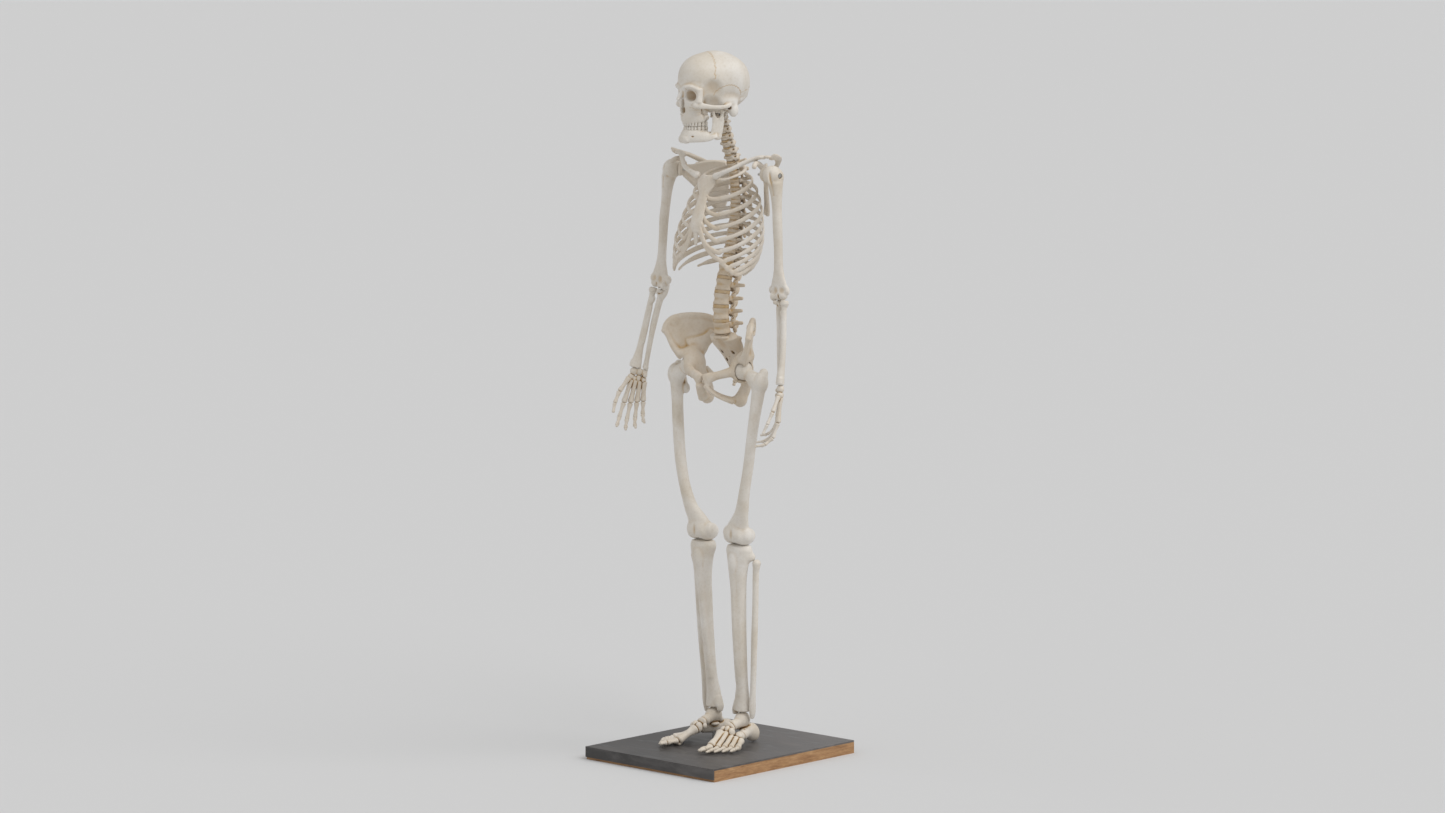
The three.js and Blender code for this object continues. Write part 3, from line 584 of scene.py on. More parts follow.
def foot():
    """Heel bone, ankle bone, tarsals and five rays with their toes."""
    clay = Clay(0.9)
    clay.add(Ball((50, 68, 25), (15.5, 21, 22)), Ball((52, 77, 20), (14, 13, 18)),
             Loft([(50, 62, 28, 14, 18), (53, 42, 29, 13, 16), (58, 22, 29, 13, 13),
                   (63, 6, 28, 12, 12)]), Ball((38, 26, 41), (9, 11, 5)), blend=6)
    clay.add(Ball((48, 28, 62), (18.5, 22, 19.4)),
             Loft([(47, 18, 58, 15, 14), (43, 4, 54, 12, 12), (40, -3, 52, 13, 13)],
                  (1, 0, 0)), Ball((48, 46, 50), (10, 9, 8)), blend=3)
    clay.carve(Ball((62, 16, 43), (7, 4, 3.5)), Ball((48, 26, 84), (5, 22, 5)), blend=2)
    tarsals = [Ball((37, -16, 48), (17, 6.5, 13), (0, 20, -8)),
               Ball((65, -13, 28), (12.5, 15, 12), (0, 12, 0)),
               Ball((28, -30, 40), (8.5, 9, 13), (0, 8, 0)), Ball((41, -31, 45), (6.5, 9, 10)),
               Ball((52, -29, 40), (7.5, 10, 11), (0, -12, 0)), Ball((23, -16, 42), (5, 6, 7))]
    clay.add(*tarsals, blend=1.2)
    lengths = (60, 58, 52, 46, 40)
    for ray in range(5):
        base = np.array((29 + ray * 11.2, -38 + ray * 4.2, 38 - ray * 4.6 + (4 if ray == 1 else 0)))
        ball_x = 30 + ray * 15
        knuckle = np.array((ball_x, -92 + ray * 7, 12.5 if ray == 0 else 9.5))
        size = 1.38 if ray == 0 else 1.0
        clay.add(small_bone(base, knuckle, 9.2 * size, 6.0 * size, 8.0 * size), blend=0.8)
        reach = lengths[ray] - 6
        shares = (0.62, 0.38) if ray == 0 else (0.52, 0.24, 0.24)
        point = knuckle.copy()
        for joint, share in enumerate(shares):
            end = point + np.array((0, -reach * share, -1.0 if joint == 0 else -0.6))
            end[2] = max(end[2], 6.2)
            thick = (6.9 - joint * 0.9) * size
            last = joint == len(shares) - 1
            clay.add(small_bone(point, end, thick, thick * 0.62, thick * (0.72 if last else 0.86),
                                flat=0.8), blend=0.7)
            point = end
        clay.add(Loft([(*base, 3.6), (*knuckle, 3.4), (*point, 2.4)], smooth=1), blend=0.5)
    clay.add(Ball((28, -88, 5.5), (4, 5, 4.6)), Ball((36, -88, 5.5), (4, 5, 4.6)), blend=1)
    return clay


# ---------------------------------------------------------------------------
# Pelvis
# ---------------------------------------------------------------------------
def hip_bone():
    """Iliac wing with its crest, hip socket, pubis and ischium."""
    clay = Clay(1.2)
    wing = [(70, -32), (67, -16), (51, -3), (27, 4), (-2, 6), (-32, 3), (-56, -6), (-70, -22),
            (-70, -36), (-58, -50), (-42, -66), (-30, -90), (0, -112), (36, -100), (47, -76),
            (54, -60), (61, -46)]
    clay.add(Plate(wing, (97.5, 4.5, 1044), (0.617, -0.787, 0), (0.101, 0.079, 0.99), 3.6, -4))
    crest = [(141, -51, 1012, 5.4), (141, -44, 1028, 5.6), (133, -32, 1042, 5.8),
             (118, -14, 1049, 5.8), (99, 8, 1051, 5.4), (80, 32, 1048, 5.6), (64, 50, 1038, 6.4),
             (54, 60, 1022, 6.8), (54, 59, 1008, 5.5)]
    clay.add(Loft(crest, (0.77, 0.63, 0)), blend=6)
    clay.add(Ball((128, -28, 1036), (9, 10, 9)), blend=8)
    clay.add(Loft([(140, -50, 1014, 5), (132, -46, 998, 4.4), (125, -43, 985, 6),
                   (116, -38, 970, 8), (106, -32, 958, 8)]), blend=6)
    clay.add(Ball((99, -24, 958), (14, 15, 11)), blend=9)
    clay.add(Ball((79, -8, 932), (24, 33, 35)), Ball((88, -4, 962), (16, 24, 16)), blend=8)
    clay.add(Loft([(74, -30, 928, 12, 13), (58, -43, 922, 10, 11), (38, -52, 916, 9, 10),
                   (20, -59, 910, 9, 13), (9.5, -62, 904, 7, 16)], (0, 1, 0)), blend=6)
    clay.add(Loft([(9.5, -61, 890, 7, 11), (20, -46, 873, 6, 11), (34, -26, 860, 6, 12),
                   (48, -8, 852, 8, 13)], (0.6, 0.6, 0)), blend=7)
    clay.add(Loft([(76, 8, 912, 14, 17), (68, 20, 890, 12, 14), (59, 20, 870, 13, 15),
                   (54, 11, 853, 12, 16)]), Ball((55, 13, 850), (12, 18, 15)), blend=9)
    clay.add(Loft([(74, 28, 918, 6, 9), (64, 40, 905, 4, 6), (59, 44, 901, 2.5, 3)]), blend=4)
    clay.add(Loft([(92, 2, 968, 12, 26), (70, 24, 988, 8, 14), (60, 40, 1003, 7, 12)],
                  (0.77, 0.63, 0)), blend=8)
    clay.carve(Ball((88, -14, 930), 25.2), Loft([(96, -14, 925, 24), (128, -12, 912, 27)],
                                                (0, 1, 0), 1), blend=2.5)
    clay.carve(Ball((92, -22, 902), (14, 8, 12)), blend=3)
    return clay


SACRUM_LIFT = -22


def sacrum():
    """The sacrum and coccyx, modelled 22 mm above their place."""
    clay = Clay(1.0)
    clay.add(Loft([(0, 12, 1026, 44, 17), (0, 24, 1012, 47, 18), (0, 36, 996, 42, 16),
                   (0, 46, 976, 33, 12), (0, 55, 950, 21, 9), (0, 57, 930, 12, 7)], tip=0.3))
    clay.add(Ball((0, 8, 1024), (24, 17, 8)), blend=3)
    clay.carve(Ball((0, -14, 974), (34, 36, 48)), blend=6)
    crest = [(0, 36, 1020, 4), (0, 52, 1002, 4.5), (0, 63, 980, 4), (0, 67, 956, 3.5),
             (0, 64, 938, 3)]
    clay.add(Loft(crest), *both(Ball((19, 30, 1027), (6, 6, 9)), Ball((37, 22, 1023), (10, 12, 6))),
             blend=4)
    for level in range(4):
        z = 1006 - 20 * level
        x = 20 - 2.4 * level
        y = 28 + 11 * level
        clay.add(Ball((0, y + 27 - 5 * level, z + 3), (4, 6, 6)), blend=3)
        clay.carve(*both(Ball((x, y - 6, z), (4.6, 16, 4.2), (-18, 0, 0)),
                         Ball((x - 2, y + 20, z - 2), (3.2, 14, 3), (-18, 0, 0))), blend=2)
        clay.carve(Loft([(-12, y - 13, z + 9, 0.8), (0, y - 16, z + 9, 0.8),
                         (12, y - 13, z + 9, 0.8)], (0, 0, 1), 3), blend=1.5)
    clay.carve(Ball((0, 36, 1034), (9, 6, 14)), blend=2)
    for index, (y, z, wide) in enumerate(((56, 922, 9), (53, 912, 6.5), (49.5, 905, 4.5))):
        clay.add(Ball((0, y, z), (wide, 5.4 - index * 0.7, 5.6 - index * 0.8)), blend=1.2)
    return clay


# ---------------------------------------------------------------------------
# Spine
# ---------------------------------------------------------------------------
SPINE_LINE = spline(np.array([
    [8, 1010], [3, 1050], [5, 1098], [19, 1160], [38, 1225], [54, 1305], [52, 1370], [40, 1420],
    [22, 1470], [2, 1520], [-8, 1548]], float), 12)
# Heights in millimetres, half widths and depths, and the disc's share of each step.
SECTIONS = {
    "lumbar": {"bottom": 1010, "top": 1181, "count": 5, "wide": 23.5, "deep": 17,
               "disc": 0.22},
    "thoracic": {"bottom": 1182, "top": 1428, "count": 12, "wide": 15.5, "deep": 13,
                 "disc": 0.16},
    "cervical": {"bottom": 1429, "top": 1548.5, "count": 7, "wide": 11.5, "deep": 8.5,
                 "disc": 0.22},
}


def spine_y(z):
    """How far back the spine is at a height."""
    return float(np.interp(z, SPINE_LINE[:, 1], SPINE_LINE[:, 0]))


def spine_frame(z):
    """A frame on the spine's path with its Z along the path, in metres."""
    lean = math.atan2(spine_y(z + 3) - spine_y(z - 3), 6)
    place_at = Matrix.Translation((0, spine_y(z) * MM, z * MM))
    return TRUNK @ place_at @ Matrix.Rotation(-lean, 4, "X")


def body_shapes(wide, deep, height):
    """The drum of a vertebra, with a waist between its rims."""
    rim = height / 2
    return [Loft([(0, 0, -rim + 1, wide, deep), (0, 0, -rim + 2.6, wide, deep),
                  (0, 0.6, 0, wide * 0.88, deep * 0.86), (0, 0, rim - 2.6, wide, deep),
                  (0, 0, rim - 1, wide, deep)], tip=0.06)]


def lumbar_vertebra(wide, deep, height):
    clay = Clay(0.95).add(*body_shapes(wide, deep, height), blend=1)
    clay.add(*both(
        Loft([(11, deep - 5, 4, 5, 7), (13, deep + 9, 3, 4.5, 7)]),
        Loft([(14, deep + 8, 3, 5, 4.5), (27, deep + 11, 5, 3.4, 5), (41, deep + 14, 6, 3, 4)],
             (0, 1, 0)),
        Ball((15, deep + 10, 13), (5.5, 6.5, 9)), Ball((12, deep + 16, -12), (5.5, 5, 10)),
        Loft([(13, deep + 10, 1, 4, 9), (7, deep + 16, -1, 3.6, 9), (0, deep + 19, -2, 3.4, 9)],
             (0, 1, 0))), blend=3)
    clay.add(Loft([(0, deep + 17, -2, 3, 9), (0, deep + 30, -4, 2.8, 10),
                   (0, deep + 39, -6, 4, 10)]), blend=3)
    clay.carve(Ball((0, deep + 7, 0), (9.5, 7.5, 40)),
               Loft([(-20, deep + 3, -9, 5), (20, deep + 3, -9, 5)], (0, 0, 1), 1), blend=2)
    clay.carve(Ball((16, deep + 7, 20), (3, 4, 6)), Ball((-16, deep + 7, 20), (3, 4, 6)), blend=2)
    return clay


def thoracic_vertebra(wide, deep, height, slope):
    clay = Clay(0.9).add(*body_shapes(wide, deep, height), blend=1)
    clay.add(*both(
        Loft([(8, deep - 3, 3, 4, 5), (10, deep + 6, 3, 3.6, 5)]),
        Loft([(10, deep + 6, 3, 4.5, 5), (19, deep + 11, 6, 3.6, 4.4), (27, deep + 15, 8, 4.4, 5)],
             (0, 1, 0)),
        Ball((10, deep + 8, 9), (4.5, 3, 7)), Ball((8, deep + 10, -8), (4.5, 3, 7)),
        Loft([(10, deep + 7, 0, 3.2, 8), (5, deep + 11, -1, 3, 8), (0, deep + 13, -2, 3, 8)],
             (0, 1, 0))), blend=3)
    clay.add(Loft([(0, deep + 11, -1, 3, 6), (0, deep + 22, -1 - slope * 0.45, 2.4, 5),
                   (0, deep + 33, -1 - slope, 3, 4)]), blend=3)
    clay.carve(Ball((0, deep + 4, 0), (7, 6, 40)),
               Loft([(-16, deep + 1, -6, 3.4), (16, deep + 1, -6, 3.4)], (0, 0, 1), 1), blend=2)
    return clay


def cervical_vertebra(wide, deep, height, level):
    """Level 0 is the vertebra above the chest and 6 is the atlas."""
    clay = Clay(0.8)
    long_spine = (27, 21, 18, 16, 16, 20, 8)[level]
    if level < 6:
        clay.add(*body_shapes(wide, deep, height), blend=1)
        clay.add(*both(Ball((wide - 1.5, 1, height / 2 - 1.5), (2.6, 6, 3.6))), blend=2)
    else:
        clay.add(Loft([(-14, -4, 1, 3, 4), (-7, -8, 1, 3, 4.5), (0, -9.5, 1, 3.4, 5),
                       (7, -8, 1, 3, 4.5), (14, -4, 1, 3, 4)], (0, 1, 0)), blend=1)
        clay.add(Loft([(0, -3, -8, 4, 4), (0, -3, 6, 4.4, 4)]), blend=1)
    wing = 21 if level != 6 else 25
    mass = 7.5 if level < 6 else 8
    clay.add(*both(
        Loft([(wide - 2, -1, 0, 3, 3), (wing - 3, 2, -2, 2.8, 3.4), (wing, 5, -2, 3, 3.6)],
             (0, 1, 0)),
        Loft([(wide, deep - 2, 0, 3, 3.4), (wing - 3, 7, -1, 3, 3.4)], (0, 1, 0)),
        Ball((wide + 3, deep + 2, 0), (6.5, 7, mass), (-25, 0, 0)),
        Loft([(wide + 2, deep + 4, 0, 2.8, 5.5), (8, deep + 12, -1, 2.4, 5.5),
              (0, deep + 16, -2, 2.6, 5)], (0, 1, 0))), blend=2.5)
    clay.add(Loft([(0, deep + 14, -2, 3, 4.6), (0, deep + long_spine, -6, 3, 3.6)]), blend=2.5)
    if 0 < level < 6:
        clay.add(*both(Loft([(1, deep + long_spine - 4, -5, 2.6, 3),
                             (4, deep + long_spine + 2, -7, 2.6, 3)])), blend=1.5)
    clay.carve(Ball((0, deep + 6, 0), (9.5, 7.5, 40)), blend=2)
    clay.carve(*both(Ball((wing - 6, 4, 0), (2.4, 2.4, 12))), blend=1)
    return clay


def disc(wide, deep, height):
    """The cushion between two vertebrae."""
    return Clay(1.0).add(Loft([(0, 0, -height / 2, wide, deep), (0, 0, 0, wide * 1.02, deep * 1.02),
                               (0, 0, height / 2, wide, deep)], tip=0.1))


SPINE_TAPER = 0.022


def spine():
    """Every vertebra and disc along the path of the spine."""
    for section, size in SECTIONS.items():
        pitch = (size["top"] - size["bottom"]) / size["count"]
        gap = pitch * size["disc"]
        for i in range(size["count"]):
            z = size["bottom"] + pitch * (i + 0.5)
            taper = 1 - SPINE_TAPER * i
            wide, deep, height = size["wide"] * taper, size["deep"] * taper, pitch - gap
            if section == "lumbar":
                clay = lumbar_vertebra(wide, deep, height)
            elif section == "thoracic":
                clay = thoracic_vertebra(wide + 2 - i * 0.1, deep, height, 8 + 16 * math.sin(
                    math.pi * min(1, (i + 0.5) / 11)))
            else:
                clay = cervical_vertebra(wide, deep, height, i)
            look = "neck" if section == "cervical" else "spine"
            add_bone(f"{section}_vertebra_{i + 1:02d}", clay.surface(), spine_frame(z), look,
                     "stand_and_trunk", f"{section}_spine")
            if section == "cervical" and i == 6:
                continue
            cushion = disc(wide * 0.95, deep * 0.95, gap).surface()
            add_bone(f"{section}_disc_{i + 1:02d}", cushion, spine_frame(z + pitch / 2), "disc",
                     "stand_and_trunk", f"{section}_spine")


# ---------------------------------------------------------------------------
# Rib cage
# ---------------------------------------------------------------------------
# Reach to the side, fall from back to front, and distance of the tip from the midline.
RIBS = [(52, 32, 32), (78, 55, 40), (96, 72, 46), (108, 84, 52), (117, 94, 60), (123, 102, 70),
        (127, 106, 82), (128, 104, 94), (126, 98, 104), (121, 88, 110), (110, 78, None),
        (92, 70, None)]
SHORT_SWEEP = {10: 104, 11: 66}
RIB_ROWS = 15


def rib_point(index, degrees):
    """The middle of a rib at an angle from the spine (0) round to the front (180)."""
    reach, fall, _ = RIBS[index]
    chest = SECTIONS["thoracic"]
    z = chest["top"] - (chest["top"] - chest["bottom"]) * (index + 0.5) / 12 - 1
    back = spine_y(z) + 24
    front = -42 - 46 * min(index / 5, 1)
    angle = math.radians(degrees)
    return np.array((reach * math.sin(angle),
                     (back + front) / 2 + (back - front) / 2 * math.cos(angle),
                     z - fall * (1 - math.cos(angle)) / 2))


def rib_end(index):
    """The angle at which the bone of a rib ends."""
    reach, _, end = RIBS[index]
    return SHORT_SWEEP[index] if end is None else 180 - math.degrees(math.asin(end / reach))


def rib(index):
    """A rib from its joint with the spine to its tip; index 0 is the topmost."""
    reach = RIBS[index][0]
    first = math.degrees(math.asin(19 / reach)) + 4
    last = rib_end(index)
    rows = []
    for i in range(RIB_ROWS):
        t = i / (RIB_ROWS - 1)
        x, y, z = rib_point(index, first + (last - first) * t)
        high = 4.6 + 1.6 * math.sin(math.pi * min(t * 1.15, 1)) + (1.0 if t > 0.9 else 0)
        thick = 3.1 - 0.5 * t
        if index > 9:
            high *= 1 - 0.55 * max(0, t - 0.6) / 0.4
        if index == 0:
            high, thick = high * 0.62, thick * 1.5
        rows.append([x, y, z, high, thick])
    clay = Clay(1.0).add(Loft(rows, (0, 0, 1), 3, 0.8))
    start = rib_point(index, first)
    body_y = spine_y(start[2] + 5)
    clay.add(Loft([(13.5, body_y + 6, start[2] + 8, 4.6, 3.6), (17, body_y + 13, start[2] + 7, 3, 2.6),
                   (start[0], start[1] - 1, start[2] + 2, 4, 3), (*rib_point(index, first + 4), 4.4, 3)],
                  (0, 0, 1)), Ball((start[0] + 1, start[1] + 1, start[2] + 2), (4, 4, 4)), blend=3)
    return clay


STERNUM_LINE = spline(np.array([[0, -44, 1396], [0, -60, 1350], [0, -84, 1285], [0, -86, 1232]],
                               float), 20)
SEATS = (0.12, 0.28, 0.42, 0.54, 0.65, 0.74, 0.80)


def sternum_at(t):
    """A point on the breastbone, from its top (0) to its foot (1)."""
    steps = np.linalg.norm(np.diff(STERNUM_LINE, axis=0), axis=1)
    run = np.concatenate([[0], np.cumsum(steps)]) / steps.sum()
    return np.array([np.interp(t, run, STERNUM_LINE[:, k]) for k in range(3)])


def sternum():
    """The breastbone: manubrium, body and tip, notched for the cartilages."""
    clay = Clay(1.0)
    shape = [(0, 24, 7), (0.06, 28, 7), (0.15, 26, 6.5), (0.24, 15, 5.5), (0.29, 14, 5.5),
             (0.40, 16, 5), (0.55, 18, 5), (0.70, 20, 5), (0.80, 13, 4.5)]
    clay.add(Loft([(*sternum_at(t), wide, deep) for t, wide, deep in shape]))
    clay.add(Loft([(*sternum_at(t), wide, deep) for t, wide, deep in
                   ((0.82, 8, 3.6), (0.9, 6.5, 3), (0.99, 4, 2.6))]), blend=2)
    clay.carve(Ball((0, -44, 1407), (11, 14, 7)), blend=3)
    clay.carve(*both(Ball((25, -48, 1404), (9, 10, 6))), blend=3)
    clay.carve(Loft([(-20, -73, 1337, 1.2), (20, -73, 1337, 1.2)], (0, 0, 1), 1), blend=2)
    for seat in SEATS[1:]:
        x, y, z = sternum_at(seat)
        clay.carve(*both(Ball((22, y - 2, z), (5, 4, 4.4))), blend=3)
    return clay


def rib_tip(index):
    """The front end of a rib, and the way it points there."""
    last = rib_end(index)
    tip = rib_point(index, last)
    along = tip - rib_point(index, last - 4)
    return tip, along / np.linalg.norm(along)


def costal_cartilages():
    """The cartilages from the rib tips to the breastbone or the rib above."""
    clay = Clay(1.1)
    for index in range(7):
        tip, along = rib_tip(index)
        start, following = tip - along * 2, tip + along * 10
        seat = sternum_at(SEATS[index])
        dip = 10 if index > 4 else 2
        middle = (following + seat) / 2 - np.array((0, 3, dip))
        shape = Loft([(*start, 5.6, 3), (*following, 5.6, 3.2), (*middle, 5.2, 3.2),
                      (seat[0] + 12, seat[1], seat[2], 4.8, 3.2)], (0, 0, 1))
        clay.add(*both(shape), blend=2.5)
    for index in (7, 8, 9):
        tip, along = rib_tip(index)
        upper, lead = rib_tip(index - 1)
        target = upper + lead * 14
        shape = Loft([(*(tip - along * 2), 5.2, 2.8), (*(tip + along * 9), 5.2, 3),
                      (*target, 4.8, 3)], (0, 0, 1))
        clay.add(*both(shape), blend=2.5)
    return clay


# ---------------------------------------------------------------------------
# Shoulders and arms
# ---------------------------------------------------------------------------
def clavicle():
    """The collar bone."""
    clay = Clay(0.9)
    clay.add(Loft([(31, -48, 1399, 10, 8.5), (40, -50, 1402, 8, 7), (56, -50, 1409, 6, 5.5),
                   (78, -44, 1418, 5.5, 5.2), (100, -27, 1432, 6, 5.4), (120, -9, 1443, 8.5, 5),
                   (134, -1, 1447, 11, 5), (142, 2, 1447, 9, 4.6)], (0, 1, 0)))
    clay.add(Ball((118, -4, 1439), (7, 5, 3)), blend=3)
    return clay


def scapula():
    """Shoulder blade with its spine, acromion, coracoid and socket."""
    clay = Clay(1.0)
    blade = [(4, 61), (24, 64), (44, 63), (75, 58), (98, 50), (104, 32), (88, 14), (69, -4),
             (50, -24), (33, -44), (15, -60), (3, -46), (-3, -12), (-3, 34)]
    clay.add(Plate(blade, (64, 92, 1360), (0.657, -0.754, 0), (0, 0, 1), 2.0, -5))
    clay.add(Loft([(139, 7, 1405, 12, 17), (130, 17, 1404, 6, 13), (120, 32, 1400, 3.4, 14),
                   (112, 42, 1396, 2.4, 14)], (0.62, 0.78, 0), tip=0.6), blend=6)
    clay.add(Loft([(134, 16, 1390, 5), (114, 44, 1356, 4.2), (92, 72, 1316, 4), (79, 84, 1301, 5)]),
             Loft([(68, 90, 1421, 3), (61, 94, 1396, 2.6), (61, 94, 1350, 2.6),
                   (68, 91, 1316, 3), (78, 85, 1300, 4.4)]),
             Loft([(70, 89, 1422, 3), (96, 62, 1424, 2.2), (116, 38, 1418, 2.4)]), blend=3)
    clay.add(Loft([(64, 94, 1392, 3, 2.6), (84, 92, 1400, 3, 4), (108, 78, 1413, 3.4, 8),
                   (134, 60, 1429, 6, 6), (152, 42, 1440, 9, 5), (163, 24, 1446, 11, 5),
                   (163, 9, 1449, 12, 4.6)], (0.3, 0.9, 0)), Ball((152, 3, 1448.5), (9, 8, 4)),
             blend=3)
    clay.add(Loft([(84, 84, 1397, 2.4, 3), (106, 62, 1404, 2.6, 8), (124, 44, 1412, 2.8, 10)],
                  (0.62, 0.78, 0)), blend=3)
    clay.add(Loft([(132, 12, 1418, 8, 7), (129, -2, 1430, 7, 6.5), (131, -16, 1432, 6.5, 6),
                   (138, -29, 1425, 5.5, 5.5)]), blend=4)
    clay.carve(Ball((165, 6, 1405), 25.2), blend=2)
    return clay


def humerus():
    """Upper arm bone, with the bolt hole in its head and the elbow at its foot."""
    clay = Clay(1.0)
    clay.add(Ball((0, 0, 0), 23.6), blend=1)
    clay.add(Ball((14, 3, -5), (14, 17, 19)), Ball((7, -17, -10), (7, 7, 12)),
             Loft([(9, 0, -22, 18, 18), (10, 0, -44, 14.5, 14.5), (9, 0, -80, 11.5, 12),
                   (8, -1, -125, 12, 11), (5, 0, -175, 10.5, 10.5), (2, 0, -218, 12, 9.5),
                   (1, 0, -240, 16, 9), (0, 0, -258, 22, 8.5), (0, 0, -272, 25, 8.5),
                   (1, 0, -282, 24, 9)]), blend=5)
    clay.add(Ball((-26, 3, -275), (8.5, 7, 10)), Ball((23, 1, -279), (7, 7, 10)), blend=7)
    clay.add(Loft([(-20, 0, -290, 12), (-15, 0, -290, 10.6), (-9, 0, -290, 9), (-3, 0, -290, 10.6)],
                  (0, 1, 0), 3, 0.35), Ball((12, -1, -289.5), (11, 10, 10.2)), blend=4)
    clay.carve(Ball((-5, 13, -268), (10, 8, 10)), Ball((-8, -14.5, -275), (11, 10, 12)),
               Ball((15, -16, -275), (15, 11.5, 12)), blend=3)
    clay.carve(Loft([(21, 0, -2.6, 6.4), (60, 0, -7.4, 6.4)], (0, 1, 0), 1, 0.05), blend=0.8)
    clay.carve(Loft([(11, -22, 10, 3), (12, -20, -14, 3), (13, -15, -48, 2.4)]), blend=4)
    return clay


SUPINATION = 43
FOREARM = 226
WRIST_ACROSS = (0.9, 0.43, 0)


def supinated(stations):
    """Turns the stations of a forearm bone out, more and more towards the wrist."""
    rows = []
    for x, y, z, *size in stations:
        share = min(1, max(0, (z + 30) / (56 - FOREARM)))
        angle = math.radians(SUPINATION) * share
        rows.append([x * math.cos(angle) - y * math.sin(angle),
                     x * math.sin(angle) + y * math.cos(angle), z, *size])
    return rows


def ulna():
    """The inner forearm bone, which hooks round the elbow."""
    clay = Clay(0.85)
    clay.add(Loft(supinated([(-9, 15, 11, 8, 6), (-9, 17, -2, 9, 8), (-9, 12, -20, 9, 11),
                             (-8, 7, -38, 7.5, 8.5), (-7, 8, -80, 6.4, 7), (-6, 9, -130, 6, 6.6),
                             (-4, 13, -185, 5.6, 6), (-4, 14, -209, 7, 7)]), WRIST_ACROSS),
             Ball((-9, -4, -15.5), (7.5, 7, 5.5)), Ball((-1, 2, -20), (4, 7, 6)), blend=4)
    clay.add(Loft(supinated([(-2, 6, -50, 2.4), (1, 6, -100, 2.6), (1, 10, -150, 2.2)])), blend=5)
    clay.add(Loft(supinated([(-4, 18, -208, 3.4), (-4, 20, -216, 2.2)]), smooth=1), blend=2)
    clay.carve(Loft([(-26, 0, 0, 12.2), (8, 0, 0, 12.2)], (0, 1, 0), 1), blend=1.5)
    return clay


def radius_bone():
    """The outer forearm bone, widest at the wrist."""
    clay = Clay(0.85)
    clay.add(Loft(supinated([
        (15, 0, -14.5, 10, 10), (15, 0, -20, 10.6, 10.6), (15, 0, -24, 8.6, 8.6),
        (14, -1, -31, 6.6, 6.6), (12.5, -3, -56, 7.2, 7.2), (10, -6, -110, 7, 7.8),
        (4, -9, -165, 7.6, 8.6), (0, -10, -188, 9, 11.5), (-3, -10, -212, 10, 14.5)]),
        WRIST_ACROSS, tip=0.3), Ball((8, -1, -41), (6, 6, 9)), blend=3)
    styloid = supinated([(-3, -21, -209), (-2, -20, -199)])
    clay.add(Loft(supinated([(5, -3, -60, 2.4), (3, -3, -110, 2.6), (0, -4, -150, 2.4)])),
             Loft([(*row, 5) for row in styloid], smooth=1), blend=4)
    clay.carve(Ball((15, 0, -5), (8, 8, 7)), Ball((3, -8, -225), (13, 16, 12.6)), blend=2)
    return clay


FINGERS = [(64, 84), (62, 92), (57, 86), (52, 70)]
FINGER_BEND = (16, 34, 30)
FINGER_SHARES = (0.46, 0.30, 0.24)


def hand():
    """Carpals, metacarpals, fingers and thumb on their wires."""
    clay = Clay(0.72)
    for centre, radii in (((0, -13, 2.8), (9, 10, 9.7)), ((0, 0, 3.6), (9, 9.5, 9.2)),
                          ((0, 12, 2.7), (8, 8.5, 9.2)), ((-7, 15, -2), (5, 5.5, 5.5)),
                          ((-1, -18, -12), (8, 8.5, 8)), ((0, -9, -15), (7.5, 7, 7.5)),
                          ((0, 1, -13), (8.5, 7.5, 10)), ((0, 13, -13), (8.5, 8.5, 8.5)),
                          ((-9, 13, -14), (3.4, 3.4, 5))):
        clay.add(Ball(centre, radii), blend=1.0)
    for index, (palm, length) in enumerate(FINGERS):
        base = -15 + index * 10.5
        fan = math.radians(-6.6 + index * 5.0)
        knuckle = np.array((-3, base + math.sin(fan) * palm, -14 - palm))
        clay.add(small_bone((0, base, -17), knuckle, 7.8, 5.4, 7.2, (0, 1, 0)), blend=0.7)
        wire = [(0, base, -17, 2.4), (*knuckle, 2.4)]
        point, bend = knuckle.copy(), 0
        for joint, share in enumerate(FINGER_SHARES):
            bend += math.radians(FINGER_BEND[joint])
            end = point + length * share * np.array((-math.sin(bend), math.sin(fan),
                                                     -math.cos(bend)))
            thick = 6.6 - joint * 0.8
            clay.add(small_bone(point, end, thick, thick * 0.6, thick * (0.86, 0.86, 0.66)[joint],
                                (0, 1, 0), 0.85), blend=0.6)
            wire.append((*end, 1.9))
            point = end
        clay.add(Loft(wire[:-1], smooth=1), blend=0.4)
    thumb = [(-4, -22, -14), (-17, -40, -52), (-29, -46, -82), (-39, -46, -105)]
    for joint, sizes in enumerate(((7.0, 4.8, 6.4), (6.0, 4.0, 5.3), (5.0, 3.5, 4.0))):
        clay.add(small_bone(thumb[joint], thumb[joint + 1], *sizes, (0, 1, 0), 0.9), blend=0.7)
    clay.add(Loft([(*point, 2.2) for point in thumb[:3]], smooth=1), blend=0.4)
    return clay


